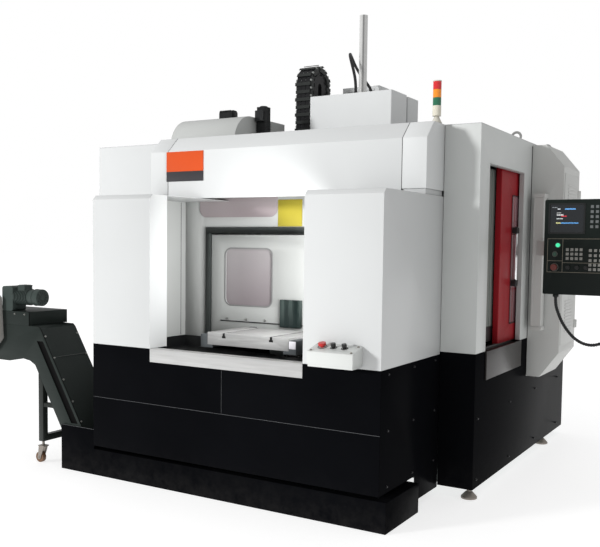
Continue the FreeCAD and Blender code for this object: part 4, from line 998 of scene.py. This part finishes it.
# ---------------------------------------------------------------- loading front
class LoadingFront(bpy.types.Operator):
    """Plates, seams and bolts of the loading front and its bay"""
    bl_idname = "machine.loading_front"
    bl_label = "Loading front"

    def execute(self, context):
        zinc = brushed_metal("bolt_zinc", (0.42, 0.42, 0.41), 0.3, metallic=0.8)
        dark = moulded("joint_shadow", (0.012, 0.013, 0.013), 0.6)
        self.plates()
        self.bay_joints(dark)
        self.beam_joints(context.scene.cover_looks, dark)
        self.partition(zinc, dark)
        self.slot_shadow_strips()
        self.inspection_box()
        self.base_highlights_and_screws()
        return {"FINISHED"}

    def plates(self):
        """Bare two-part nameplate on the beam, sign above the bay's seal and label on the fork's block."""
        orange = sprayed_paint("plate_orange", (0.54, 0.072, 0.016), 0.45, 0.0, grime=0.03, gloss=0.2)
        slate = sprayed_paint("plate_slate", (0.030, 0.028, 0.032), 0.4, 0.1, grime=0.05)
        yellow = sprayed_paint("plate_yellow", (0.360, 0.302, 0.032), 0.4, 0.0, grime=0.05)
        pale = sprayed_paint("plate_white", (0.66, 0.65, 0.68), 0.35, 0.4, grime=0.04)
        for name, low, high, paint in (("nameplate_upper", 2.052, 2.189, orange),
                                       ("nameplate_lower", 1.984, 2.0515, slate)):
            corners = (-0.900, -0.9285, low), (-0.580, -0.9241, high)
            plate = raised_plate(*corners, FRONT, 0.004, 0.0008, 0.0008)
            mounted(name, [plate], "machine", paint)
        sign = raised_plate((-0.148, -0.6490, 1.678), (0.044, -0.6459, 1.861), FRONT, 0.005, 0.0006, 0.0008)
        mounted("bay_sign", [sign], "machine", yellow)
        label = raised_plate((0.309, -1.2345, 0.926), (0.357, -1.2321, 0.972), FRONT, 0.003, 0.0005, 0.0006)
        mounted("fork_label", [label], "changer_arm", pale)

    def beam_joints(self, looks, dark):
        """Joints between the beam's panel and its end caps, and the folded tops that close the pillars,
        painted a darker white as shade.
        """
        cap_joint, pillar_end, half_gap = 0.889, 1.038, 0.0013
        chamfer_rise, chamfer_run = 0.107, 0.104
        lean = Matrix.Rotation(-math.atan2(chamfer_rise, chamfer_run), 4, "X")
        chamfer = Matrix.Translation((0, -0.8705, 2.244)) @ lean
        seams, tops = [], []
        for side in (-1, 1):
            x = side * cap_joint
            seams.append(cuboid((x - half_gap, -0.9252, 1.866), (x + half_gap, -0.9238, 2.192)))
            seams.append(cuboid((x - half_gap, -0.0007, -0.0745), (x + half_gap, 0.0007, 0.0745)))
            seams[-1].data.transform(chamfer)
            low, high = sorted((x, side * pillar_end))
            tops.append(slab((low, -0.9150, 1.8605), (high, -0.6500, 1.8935), 0.003, 2))
        mounted("beam_joints", seams, "machine", dark)
        # painted shade: a darker copy of the white paint on the pillars' tops under the caps
        white = sprayed_paint("pillar_tops_shaded", tone(looks.white, 0.85), 0.4, 0.1, grime=0.03)
        mounted("pillar_tops_shaded", tops, "machine", white)

    def bay_joints(self, dark):
        """Upright joints of the bay's side walls, and the gasket of its upper window."""
        wall, joints = 0.9515, []
        for x in (-wall, wall):
            for y in (-0.985, -0.700):
                joints.append(slab((x - 0.001, y - 0.0018, 0.885), (x + 0.001, y + 0.0018, 1.852), 0.0004))
        mounted("bay_wall_joints", joints, "machine", dark)
        low, high = (-0.812, -0.6485, 1.750), (-0.160, -0.6459, 2.052)
        gasket = rounded_ring("upper_window_gasket", low, high, 0.052, 0.012)
        fit(gasket, "machine", moulded("gasket_grey", (0.30, 0.29, 0.29), 0.5))

    def partition(self, zinc, dark):
        """Gaskets of both panes, the ledges and the bolts, on the two faces of the turning panel."""
        front, rear = -0.6571, -0.6269
        pane_left, pane_right = 0.185 - 0.006, 0.583 + 0.006
        rings = []
        for left, right in ((-pane_right, -pane_left), (pane_left, pane_right)):
            for near, far in ((-0.6592, -0.6568), (-0.6272, -0.6248)):
                rings.append(rounded_ring("ring", (left, near, 1.115), (right, far, 1.530), 0.056, 0.010))
        rubber = moulded("gasket_grey", (0.20, 0.20, 0.20), 0.5)
        mounted("partition_gaskets", rings, "changer_arm", rubber)
        depths = ((-0.664, front), (rear, -0.620))
        ledges = [slab((-0.62, near, 1.004), (0.62, far, 1.010), 0.001) for near, far in depths]
        mounted("partition_ledges", ledges, "changer_arm", dark)
        for name, face, way in (("front", front, FRONT), ("rear", rear, REAR)):
            places = [(-0.56 + 0.16 * i, face, 1.024) for i in range(8)]
            bolt_row(f"partition_bolts_{name}", places, way, 0.014, "changer_arm", zinc)

    def slot_shadow_strips(self):
        """Dark strips laid in the T-slots of the two pallets: painted shadow in the slots."""
        strips = []
        for x in (-0.178, 0.178):
            for front, rear in ((-1.2300, -0.8240), (-0.4600, -0.0540)):
                for half, low, high in ((0.0088, 0.9690, 0.9885), (0.0148, 0.9564, 0.9698)):
                    strips.append(slab((x - half, front, low), (x + half, rear, high), 0.0006))
        # painted shadow: near-black fill in the slots
        black = moulded("slot_shadow_strips", (0.010, 0.010, 0.010), 0.5)
        mounted("slot_shadow_strips", strips, "changer_arm", black)

    def inspection_box(self):
        """Glazed box on the partition's front face, dark bars standing behind its glass."""
        box = dished(cuboid((-0.100, -0.690, 0.991), (0.060, -0.6571, 1.179)), FRONT, 0.008, 0.004)
        shop = Shop("inspection_glass")
        bars = shop.noise(22.0, 3.0, 0.5, (1.0, 1.0, 0.12)).ramp(0.42, 0.62)
        lit = bars * shop.axis("z").ramp(0.99, 1.16)
        colour = shop.blend(lit, (0.012, 0.020, 0.019), (0.060, 0.080, 0.074))
        shop.finish(base_color=colour, roughness=0.2 + bars * 0.15, specular_ior_level=0.25)
        mounted("inspection_box", [rounded_edges(box, 0.003)], "changer_arm", shop.material)

    def base_highlights_and_screws(self):
        """Pale strips along the folded edge where the lower base sheet meets the upper ones, a painted
        highlight, and screws along the sheets.
        """
        seam_highlight = brushed_metal("seam_highlight_strip", (0.13, 0.135, 0.14), 0.4, (0.05, 1.0, 1.0), metallic=0.3)
        # painted highlight along the sheets' edges
        strips = [
            slab((-1.0445, -1.4975, 0.5360), (1.0445, -1.4955, 0.5378), 0.0006),
            slab((-1.3665, -1.4775, 0.3062), (-1.0600, -1.4755, 0.3080), 0.0006),
            slab((-0.0006, -1.4975, 0.5390), (0.0006, -1.4955, 0.8040), 0.0003),
        ]
        mounted("base_seam_highlights", strips, "machine", seam_highlight)
        black = brushed_metal("black_screws", (0.03, 0.03, 0.032), 0.35, metallic=0.5)
        flank = [(1.045, y, z) for y in (-1.40, -1.05, -0.72) for z in (0.24, 0.55, 0.86)]
        skirt = [(1.274, y, z) for y in (-0.58, 0.10, 0.75, 1.42) for z in (0.12, 0.50)]
        for name, places in (("flank_screws", flank), ("skirt_screws", skirt)):
            bolt_row(name, places, RIGHT, 0.012, "machine", black)


class ButtonBox(bpy.types.Operator):
    """Screws and collars of the push-button box"""
    bl_idname = "machine.button_box_fittings"
    bl_label = "Button box fittings"

    def execute(self, context):
        low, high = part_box("button_box")
        face_foot, button_line = 0.980, 0.6
        rise, run = high.z - face_foot, high.y - low.y
        slope = Vector((0, -rise, run)).normalized()

        def on_slope(x, share):
            return Vector((x, low.y + share * run, face_foot + share * rise))

        zinc = brushed_metal("box_screws", (0.35, 0.33, 0.30), 0.35, metallic=0.7)
        screws = [on_slope(x, share) for x in (low.x + 0.018, high.x - 0.018) for share in (0.14, 0.86)]
        bolt_row("box_screws", screws, slope, 0.011, "machine", zinc)
        turn = slope.to_track_quat("Z", "Y").to_matrix().to_4x4()
        collars = []
        for x, radius in ((0.714, 0.0255), (0.783, 0.0175), (0.850, 0.0175)):
            collars.append(bead_ring(Matrix.Translation(on_slope(x, button_line)) @ turn, radius, 0.0022))
        black = moulded("collar_black", (0.02, 0.02, 0.02), 0.4)
        mounted("button_collars", collars, "machine", black)
        return {"FINISHED"}


# ---------------------------------------------------------------- operator's side
class OperatorSide(bpy.types.Operator):
    """Gasket and bars of the sliding door's pane, the guard behind it, cabinet louvres and seams"""
    bl_idname = "machine.operator_side"
    bl_label = "Operator's side"

    def execute(self, context):
        looks = context.scene.cover_looks
        self.pane(looks)
        self.guard()
        self.reveal(looks)
        self.cabinet(looks)
        return {"FINISHED"}

    def pane(self, looks):
        """Pane bonded to the leaf's outside, with its gasket and dividing bars; the upright bar is a painted
        reflection line.
        """
        red = sprayed_paint("door_bars_red", tone(looks.door, 0.8), 0.26, 0.3, grime=0.08, gloss=0.3)
        glass = tinted_pane("bonded_pane", (0.145, 0.045, 0.055), (0.30, 0.15, 0.17), 1.0, 1.9, 0.96, 0.2)
        pane = slab((1.2301, 0.176, 1.034), (1.2316, 0.556, 1.905), 0.0006)
        mounted("bonded_pane", [pane], "operator_door", glass)
        corners = (1.2301, 0.168, 1.026), (1.2330, 0.564, 1.913)
        ring = rounded_ring("door_gasket", *corners, 0.012, 0.010, axis="x")
        fit(ring, "operator_door", moulded("door_gasket", (0.035, 0.008, 0.010), 0.45))
        inner, outer = 1.2306, 1.2328
        # painted reflection: the upright bar stands where the pane shows a reflection line
        bars = [slab((inner, 0.226, 1.036), (outer, 0.234, 1.903), 0.0008)]
        bars += [slab((inner, 0.178, z), (outer, 0.554, z + 0.010), 0.0008) for z in (1.640, 1.262)]
        mounted("door_pane_bars", bars, "operator_door", red)

    def guard(self):
        """Ribbed inner guard that shows past the leaf, and its black foot."""
        grey = sprayed_paint("guard_grey", (0.165, 0.185, 0.170), 0.45, 0.05, grime=0.08)
        black = moulded("guard_foot", (0.010, 0.010, 0.011), 0.4)
        sheet_x, low, high = 1.1800, 1.030, 2.064
        strips = ((-0.4560, -0.0400, 1.1830), (-0.3080, -0.2700, 1.1862), (-0.1280, -0.0960, 1.1862))
        guard = [slab((sheet_x, front, low), (outer, rear, high), 0.0012, 2) for front, rear, outer in strips]
        mounted("inner_guard", guard, "machine", grey)
        foot = raised_plate((1.1790, -0.4560, 0.930), (1.1850, -0.0400, 1.028), RIGHT, 0.012, 0.002, 0.0012)
        mounted("inner_guard_foot", [foot], "machine", black)

    def reveal(self, looks):
        """Folded lips on both sides of the door's opening and above it."""
        side = sprayed_paint("frame_trim", tone(looks.side, 0.8), 0.36, 0.2, grime=0.05)
        sill, head = 0.9065, 2.0685
        lips = ((-0.4615, sill, -0.4585), (0.2965, sill, 0.2995), (-0.4615, 2.0655, 0.2995))
        reveal = [slab((1.2405, front, low), (1.2735, rear, head), 0.0008) for front, low, rear in lips]
        mounted("door_reveal", reveal, "machine", side)

    def cabinet(self, looks):
        """Two banks of louvres and a latch on the cabinet's door, and the joint beside the wall."""
        paint = sprayed_paint("louvre_grey", tone(looks.cabinet, 0.95), 0.36, 0.2, grime=0.05)
        heights = rising(0.95, 0.024, 10) + rising(1.78, 0.024, 10)
        blades = louvres((1.5052, 0.60, 0.0), (1.5092, 0.82, 0.012), (0.2, 0.96, 1.0), 0.0008, heights)
        mounted("cabinet_louvres", blades, "cabinet_door", paint)
        dark = moulded("latch_black", (0.015, 0.015, 0.015), 0.35)
        grip = dished(cuboid((1.5055, 0.5170, 1.405), (1.5070, 0.5330, 1.515)), RIGHT, 0.003, 0.0008)
        mounted("latch_plate", [rounded_edges(grip, 0.001, 1)], "cabinet_door", dark)
        joint = moulded("cabinet_joint", (0.03, 0.03, 0.03), 0.5)
        seam = slab((1.2745, 0.4718, 0.640), (1.2785, 0.4742, 2.272), 0.0006)
        mounted("cabinet_wall_joint", [seam], "machine", joint)


# ---------------------------------------------------------------- roof
class RoofFittings(bpy.types.Operator):
    """Motor fins, painted shade in the hood's slits, covers' screws and lifting eyes on the roof"""
    bl_idname = "machine.roof_fittings"
    bl_label = "Roof fittings"

    def execute(self, context):
        zinc = brushed_metal("roof_bolts", (0.42, 0.42, 0.41), 0.3, metallic=0.8)
        self.motors()
        self.hood()
        self.cover_bolts(zinc)
        self.tower_foot()
        self.lifting_eyes(zinc)
        self.rear_vents(context.scene.cover_looks)
        return {"FINISHED"}

    def motors(self):
        """Cooling fins of the upright motor and of the lying one, with the plug and its connector."""
        black = sprayed_paint("motor_black", (0.010, 0.011, 0.012), 0.36, 0.2, grime=0.15, gloss=0.4)
        fin, pitch = 0.004, 0.012
        upright = slab((-0.6395, -0.1995, 0.0), (-0.5545, -0.1145, fin), 0.001)
        fins = repeated(upright, rising(2.330, pitch, 13))
        lying = slab((0.0, -0.1915, 2.514), (fin, -0.1085, 2.5885), 0.001)
        fins += repeated(lying, [(-0.984 + pitch * i, 0, 0) for i in range(9)])
        plug = rounded_edges(round_bar((-0.597, -0.157, 2.5895), 0.030, 0.018, sides=24), 0.004)
        box = slab((-0.6300, -0.2300, 2.480), (-0.5650, -0.1970, 2.560), 0.004, 2)
        mounted("motor_fins", fins + [plug, box], "machine", black)
        pale = brushed_metal("connector_ring", (0.55, 0.55, 0.54), 0.3, metallic=0.7)
        ring = dished(round_bar((-0.620, -0.157, 2.566), 0.020, 0.030, "y", 24), FRONT, 0.005, 0.004)
        mounted("connector_ring", [rounded_edges(ring, 0.0015, 1)], "machine", pale)

    def hood(self):
        """Row of black strips along the hood's front, painted shade in its slits, every third one longer, and
        the seal round its foot.
        """
        dark = moulded("slot_black", (0.010, 0.010, 0.010), 0.5)
        # painted shade: black strips where the hood's slits are
        slit_shades = []
        for i in range(8):
            left = -0.905 + 0.040 * i
            length = 0.022 if i % 3 else 0.034
            slit_shades.append(slab((left, -0.4815, 2.302), (left + length, -0.4795, 2.311), 0.0006))
        mounted("hood_slit_shades", slit_shades, "machine", dark)
        rim = moulded("hood_rim", (0.05, 0.05, 0.05), 0.5)
        edges = [slab((-1.2365, -0.4805, 2.2975), (-1.2335, 0.2155, 2.3005), 0.0006),
                 slab((-1.2350, -0.4815, 2.2975), (-0.6400, -0.4795, 2.3005), 0.0006)]
        mounted("hood_rim", edges, "machine", rim)

    def cover_bolts(self, zinc):
        """Bolts round the head cover's foot and over the roof's covers."""
        low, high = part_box("head_cover")
        inset, height = 0.05, low.z + 0.02
        sides = [((x, low.y, height), FRONT) for x in (low.x + inset, 0.0, high.x - inset)]
        sides += [((high.x, y, height), RIGHT) for y in (low.y + inset, high.y - inset)]
        bolts = [hex_bolt(place, way, 0.012) for place, way in sides]
        mounted("head_cover_bolts", bolts, "machine", zinc)
        roof_top = 2.296
        roof = [(x, y, roof_top) for x in (-1.75, -1.30, 0.60, 1.20) for y in (-0.44, 0.60, 1.42)]
        bolt_row("roof_bolts", roof, UP, 0.018, "machine", zinc)

    def tower_foot(self):
        """Tapered socket under the signal tower."""
        clear_selection()
        bpy.ops.mesh.primitive_cone_add(vertices=28, radius1=0.034, radius2=0.013, depth=0.042,
                                        location=(1.010, -0.696, 2.3195))
        foot = rounded_edges(settle(), 0.002, 2)
        ivory = moulded("tower_ivory", (0.52, 0.50, 0.44), 0.4)
        mounted("tower_foot", [foot], "machine", ivory)

    def lifting_eyes(self, zinc):
        """Four lifting eyes on their collars."""
        eyes = []
        for x in (-1.70, 1.15):
            for y in (0.50, 1.36):
                upright = Matrix.Translation((x, y, 2.350)) @ Matrix.Rotation(math.pi / 2, 4, "X")
                eyes.append(bead_ring(upright, 0.032, 0.009, 24))
                eyes.append(rounded_edges(round_bar((x, y, 2.306), 0.026, 0.020, sides=20), 0.004))
        mounted("lifting_eyes", eyes, "machine", zinc)

    def rear_vents(self, looks):
        """Louvres at the back of the box behind the head cover."""
        paint = sprayed_paint("vent_white", tone(looks.white, 0.9), 0.34, 0.2, grime=0.05)
        heights = rising(2.70, 0.022, 4)
        blades = louvres((-0.20, 0.4395, 0.0), (0.04, 0.4450, 0.014), (0.97, 0.3, 1.0), 0.0008, heights)
        mounted("rear_box_louvres", blades, "machine", paint)


class CableChain(bpy.types.Operator):
    """Links, pins and cable pack of the energy chain over the column"""
    bl_idname = "machine.cable_chain"
    bl_label = "Cable chain"

    centre = Vector((-0.430, 0.305, 2.800))
    reach = 0.132
    floor = 2.303
    pitch = 0.058

    def execute(self, context):
        nylon = moulded("chain_nylon", (0.020, 0.022, 0.021), 0.42, 300.0, 0.2, gloss=0.3)
        grey = moulded("chain_pins", (0.26, 0.27, 0.26), 0.4, 200.0, 0.1)
        bracket_zinc = brushed_metal("bracket_zinc", (0.4, 0.4, 0.39), 0.35)
        moves = self.moves()
        links = repeated(self.link(0.0), moves[::2]) + repeated(self.link(0.006), moves[1::2])
        low, high = 2.216, self.floor + 0.004
        ends = [slab((-0.497, y, low), (-0.363, y + 0.040, high), 0.002, 2) for y in (0.138, 0.432)]
        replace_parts(mounted("chain_links", links + ends, "machine", nylon), "energy_chain")
        pin = rounded_edges(round_bar((0, -0.016, 0.0290), 0.0085, 0.1400, "x", 14), 0.0015, 1)
        mounted("chain_pins", repeated(pin, moves), "machine", grey)
        self.cables()
        bracket = slab((-0.490, 0.470, 2.2403), (-0.370, 0.610, 2.260), 0.003, 2)
        mounted("chain_bracket", [bracket], "machine", bracket_zinc)
        return {"FINISHED"}

    def moves(self):
        """Place and turn of each link: up the front leg, over the bend and down the rear leg."""
        centre, reach = self.centre, self.reach
        leg, bend = centre.z - self.floor, math.pi * reach
        total = 2 * leg + bend
        count = int(total / self.pitch)
        moves = []
        for i in range(count):
            way = (i + 0.5) * total / count
            if way < leg:
                place, angle = Vector((centre.x, centre.y - reach, self.floor + way)), 0.0
            elif way < leg + bend:
                angle = (way - leg) / reach
                place = centre + Vector((0, -math.cos(angle), math.sin(angle))) * reach
            else:
                place, angle = Vector((centre.x, centre.y + reach, centre.z - (way - leg - bend))), math.pi
            moves.append(Matrix.Translation(place) @ Matrix.Rotation(-angle, 4, "X"))
        return moves

    def link(self, inset):
        """One link at the origin: two waisted side plates and the two bars between them."""
        half, plate_width = 0.0685 - inset, 0.006
        parts = []
        for side in (-1, 1):
            inner, outer = side * (half - plate_width), side * half
            plate = cuboid((min(inner, outer), -0.037, -0.041), (max(inner, outer), 0.037, 0.041))
            with editing(plate):
                pick_faces(plate, lambda middle, normal: abs(normal.z) > 0.9)
                bpy.ops.transform.resize(value=(1, 0.55, 1))
            parts.append(rounded_edges(plate, 0.0012, 1))
        for front, rear in ((-0.0375, -0.0325), (0.0325, 0.0375)):
            parts.append(slab((-half, front, -0.013), (half, rear, 0.013), 0.0012))
        return joined("link", parts)

    def cables(self):
        """Three flat packs of cable that follow the chain's run inside it."""
        jacket = moulded("cable_jacket", (0.006, 0.006, 0.007), 0.4, 300.0, 0.1)
        leg = self.centre.z - self.floor
        packs = []
        for x in (-0.040, 0.0, 0.040):
            start = self.centre + Vector((x, -self.reach, -leg))
            pack = cuboid(start - Vector((0.0185, 0.028, 0)), start + Vector((0.0185, 0.105, leg)))
            with editing(pack):
                pick_faces(pack, facing(UP))
                bpy.ops.mesh.spin(steps=16, angle=math.pi, center=self.centre, axis=(1, 0, 0))
                bpy.ops.mesh.extrude_region_move(TRANSFORM_OT_translate={"value": (0, 0, -leg)})
                bpy.ops.mesh.select_all(action="SELECT")
                bpy.ops.mesh.normals_make_consistent(inside=False)
            packs.append(pack)
        mounted("chain_cables", packs, "machine", jacket)


# ---------------------------------------------------------------- conveyor
class ConveyorFittings(bpy.types.Operator):
    """Bolts, seams and fan grille of the chip conveyor, and its casters' hubs"""
    bl_idname = "machine.conveyor_fittings"
    bl_label = "Conveyor fittings"

    motor_y, motor_z = -1.399, 1.160

    def execute(self, context):
        zinc = brushed_metal("conveyor_bolts", (0.30, 0.30, 0.28), 0.35, metallic=0.7)
        bead_grey = brushed_metal("weld_bead", (0.06, 0.065, 0.062), 0.4, metallic=0.4)
        top, foot = Vector((-1.585, 0, 0.946)), Vector((-1.187, 0, 0.297))
        way = (foot - top).normalized()
        out = Vector((-way.z, 0, way.x))
        out = out if out.z > 0 else -out
        fit(self.weld(top + way * 0.225, out), "machine", bead_grey)
        self.bolts(top, foot, out, zinc)
        self.motor()
        self.casters(zinc)
        return {"FINISHED"}

    def bolts(self, top, foot, out, zinc):
        """Bolts down both edges of the incline, along the head's side and round the chain guard."""
        bolts = []
        for share in (0.08, 0.30, 0.52, 0.74, 0.94):
            for y in (-1.4445, -1.1475):
                bolts.append(hex_bolt(top + (foot - top) * share + Vector((0, y, 0)), out, 0.012))
        bolts += [hex_bolt((x, -1.4611, 1.040), FRONT, 0.011) for x in (-2.12, -1.98, -1.84, -1.74)]
        guard = (
            (-2.172, 0.83), (-2.050, 0.79), (-1.985, 0.88),
            (-1.992, 1.13), (-2.056, 1.19), (-2.108, 1.155),
        )
        bolts += [hex_bolt((x, -1.5071, z), FRONT, 0.014) for x, z in guard]
        mounted("conveyor_bolts", bolts, "machine", zinc)

    def weld(self, place, out):
        """Half-round bead across the incline."""
        bead = round_bar((0, 0, 0), 0.0035, 0.300, "y", 10)
        with editing(bead):
            bpy.ops.mesh.select_all(action="SELECT")
            bpy.ops.mesh.bisect(plane_co=(0, 0, -0.0005), plane_no=UP, use_fill=True, clear_inner=True)
        turn = Matrix.Rotation(math.atan2(out.x, out.z), 4, "Y")
        bead.data.transform(Matrix.Translation(place + Vector((0, -1.296, 0))) @ turn)
        return joined("incline_weld", [bead])

    def motor(self):
        """Fan slots, terminal lid and flange collars of the gear motor."""
        dark = moulded("grille_black", (0.010, 0.012, 0.011), 0.45)
        grey = rough_casting("terminal_casting", (0.036, 0.049, 0.045))
        # painted shade: dark strips where the fan cover's slots open
        slot = slab((-0.001, -0.003, 0.020), (0.001, 0.003, 0.047), 0.0008)
        fan = Matrix.Translation((-1.6252, self.motor_y, self.motor_z))
        slots = repeated(slot, [fan @ Matrix.Rotation(math.tau * i / 12, 4, "X") for i in range(12)])
        mounted("fan_slots", slots, "machine", dark)
        lid = raised_plate((-1.842, -1.436, 1.237), (-1.768, -1.362, 1.243), UP, 0.006, 0.003, 0.002)
        mounted("terminal_lid", [lid], "machine", grey)
        collars = []
        for x, radius, width in ((-1.868, 0.062, 0.012), (-1.684, 0.0605, 0.006)):
            flange = round_bar((x, self.motor_y, self.motor_z), radius, width, "x", 36)
            collars.append(rounded_edges(flange, 0.003))
        mounted("motor_collars", collars, "machine", grey)

    def casters(self, zinc):
        """Dished hub on each side of both wheels."""
        for name, y in (("front", -1.4382), ("rear", -1.1535)):
            for side, away in (("near", -1), ("far", 1)):
                hub = round_bar((-1.610, y + away * 0.0165, 0.0375), 0.017, 0.004, "y", 24)
                hub = rounded_edges(dished(hub, (0, away, 0), 0.004, 0.0015), 0.0008, 1)
                mounted(f"caster_hub_{name}_{side}", [hub], f"caster_wheel_{name}", zinc)


# ---------------------------------------------------------------- pendant
class PendantTrim(bpy.types.Operator):
    """Outlines, bezel, grips and glands of the operator's pendant"""
    bl_idname = "machine.pendant_trim"
    bl_label = "Pendant trim"

    def execute(self, context):
        black = moulded("bezel_black", (0.006, 0.007, 0.007), 0.3, 500.0, 0.2)
        self.panel_lines()
        bezel = rounded_ring("screen_bezel", (1.597, -0.2990, 1.640), (1.816, -0.2961, 1.828), 0.006, 0.010)
        fit(rounded_edges(bezel, 0.0008, 1), "pendant", black)
        self.button_rings()
        nuts = []
        for x in (1.644, 2.066):
            nuts.append(rounded_edges(round_bar((x, -0.250, 1.2600), 0.0195, 0.014, sides=6), 0.0015, 1))
        mounted("conduit_gland_nuts", nuts, "pendant", black)
        self.knobs()
        rib = slab((1.62, -0.2062, 0.0), (1.80, -0.2025, 0.006), 0.001)
        mounted("pendant_vents", repeated(rib, rising(1.70, 0.016, 7)), "pendant", black)
        return {"FINISHED"}

    def panel_lines(self):
        """Painted lines that frame the groups of keys."""
        paint = sprayed_paint("panel_line", (0.20, 0.175, 0.135), 0.4, 0.1, grime=0.05)
        left, parting, right = 1.597, 1.688, 2.180
        low, high = 1.407, 1.611
        near, far, half = -0.2968, -0.2959, 0.0011
        runs = [(left, right, high), (left, right, low), (left, parting, 1.476), (parting, right, 1.4655)]
        lines = [slab((x0, near, z - half), (x1, far, z + half), 0.0003) for x0, x1, z in runs]
        lines += [slab((x - half, near, low), (x + half, far, high), 0.0003) for x in (left, parting, right)]
        mounted("panel_lines", lines, "pendant", paint)

    def button_rings(self):
        """Rings round the three push buttons."""
        grey = moulded("collar_grey", (0.10, 0.10, 0.09), 0.4)
        flat = Matrix.Rotation(math.pi / 2, 4, "X")
        rings = []
        for x, z, radius in ((1.659, 1.572, 0.0146), (1.642, 1.517, 0.0146), (1.641, 1.437, 0.0226)):
            rings.append(bead_ring(Matrix.Translation((x, -0.2966, z)) @ flat, radius, 0.0020))
        mounted("button_rings", rings, "pendant", grey)

    def knobs(self):
        """Three selector knobs, each a dial with a grip across it."""
        knobs = []
        for x in (1.722, 1.776, 1.828):
            dial = round_bar((x, -0.3030, 1.437), 0.012, 0.014, "y", 20)
            knobs.append(rounded_edges(dial, 0.0015, 1))
            knobs.append(slab((x - 0.002, -0.3140, 1.428), (x + 0.002, -0.3060, 1.446), 0.0008))
        black = moulded("knob_black", (0.012, 0.012, 0.012), 0.35)
        mounted("selector_knobs", knobs, "pendant", black)


# ---------------------------------------------------------------- rear and left side
class RearService(bpy.types.Operator):
    """Service doors, latches, hinges and vents on the left and rear walls"""
    bl_idname = "machine.rear_service"
    bl_label = "Rear service doors"

    sill, head = 1.000, 2.100
    rim, rise, edge = 0.020, 0.003, 0.002
    latch = 0.080

    def execute(self, context):
        looks = context.scene.cover_looks
        paint = sprayed_paint("service_doors", tone(looks.side, 1.04), 0.34, 0.2, grime=0.04)
        black = moulded("service_black", (0.014, 0.014, 0.014), 0.4)
        zinc = brushed_metal("service_hinges", (0.42, 0.42, 0.41), 0.3, metallic=0.8)
        left_doors, left_latches, hinges = self.left_wall()
        rear_doors, rear_latches = self.rear_wall()
        mounted("service_doors", left_doors + rear_doors, "machine", paint)
        mounted("service_latches", left_latches + rear_latches, "machine", black)
        mounted("service_hinges", hinges, "machine", zinc)
        places = [(x, 0, 1.15 + 0.030 * i) for x in (-1.11, 0.77) for i in range(12)]
        blades = louvres((-0.10, 1.4770, 0.0), (0.10, 1.4830, 0.016), (0.96, 0.25, 1.0), 0.001, places)
        mounted("rear_louvres", blades, "machine", paint)
        return {"FINISHED"}

    def left_wall(self):
        """Two hinged doors with their latches and hinges."""
        doors, latches, hinges = [], [], []
        for front, rear in ((-0.400, 0.280), (0.420, 1.200)):
            low, high = (-1.8225, front, self.sill), (-1.8181, rear, self.head)
            doors.append(raised_plate(low, high, LEFT, self.rim, self.rise, self.edge))
            for z in (1.30, 1.80):
                corners = (-1.8300, front + 0.028, z), (-1.8220, front + 0.052, z + self.latch)
                latches.append(slab(*corners, 0.003, 2))
                hinge = round_bar((-1.8250, rear + 0.004, z + 0.04), 0.007, self.latch, sides=16)
                hinges.append(rounded_edges(hinge, 0.001, 1))
        return doors, latches, hinges

    def rear_wall(self):
        """Three lift-off doors with their latches."""
        doors, latches = [], []
        for left in (-1.500, -0.560, 0.380):
            low, high = (left, 1.4701, self.sill), (left + 0.780, 1.4745, self.head)
            doors.append(raised_plate(low, high, REAR, self.rim, self.rise, self.edge))
            for z in (1.25, 1.85):
                corners = (left + 0.030, 1.4745, z), (left + 0.056, 1.4825, z + self.latch)
                latches.append(slab(*corners, 0.003, 2))
        return doors, latches


# ---------------------------------------------------------------- panel and registration
STEPS = (StudioStage, HeadHose, PendantConduit, Finishes, LoadingFront, ButtonBox, OperatorSide, RoofFittings,
         CableChain, ConveyorFittings, PendantTrim, RearService)


class MachinePanel(bpy.types.Panel):
    """Lists the steps that build the machine's looks"""
    bl_idname = "MACHINE_PT_looks"
    bl_label = "Machining centre"
    bl_space_type = "VIEW_3D"
    bl_region_type = "UI"
    bl_category = "Machine"

    def draw(self, context):
        for step in STEPS:
            self.layout.operator(step.bl_idname)
        for looks in (context.scene.cover_looks, context.scene.stage_looks):
            for name in looks.__annotations__:
                self.layout.prop(looks, name)


CLASSES = (CoverLooks, StageLooks, *STEPS, MachinePanel)


def register():
    for cls in CLASSES:
        bpy.utils.register_class(cls)
    bpy.types.Scene.cover_looks = bpy.props.PointerProperty(type=CoverLooks)
    bpy.types.Scene.stage_looks = bpy.props.PointerProperty(type=StageLooks)


def unregister():
    del bpy.types.Scene.cover_looks
    del bpy.types.Scene.stage_looks
    for cls in reversed(CLASSES):
        bpy.utils.unregister_class(cls)


def main():
    register()
    for step in STEPS:
        area, name = step.bl_idname.split(".")
        getattr(getattr(bpy.ops, area), name)()


if __name__ == "__main__":
    main()
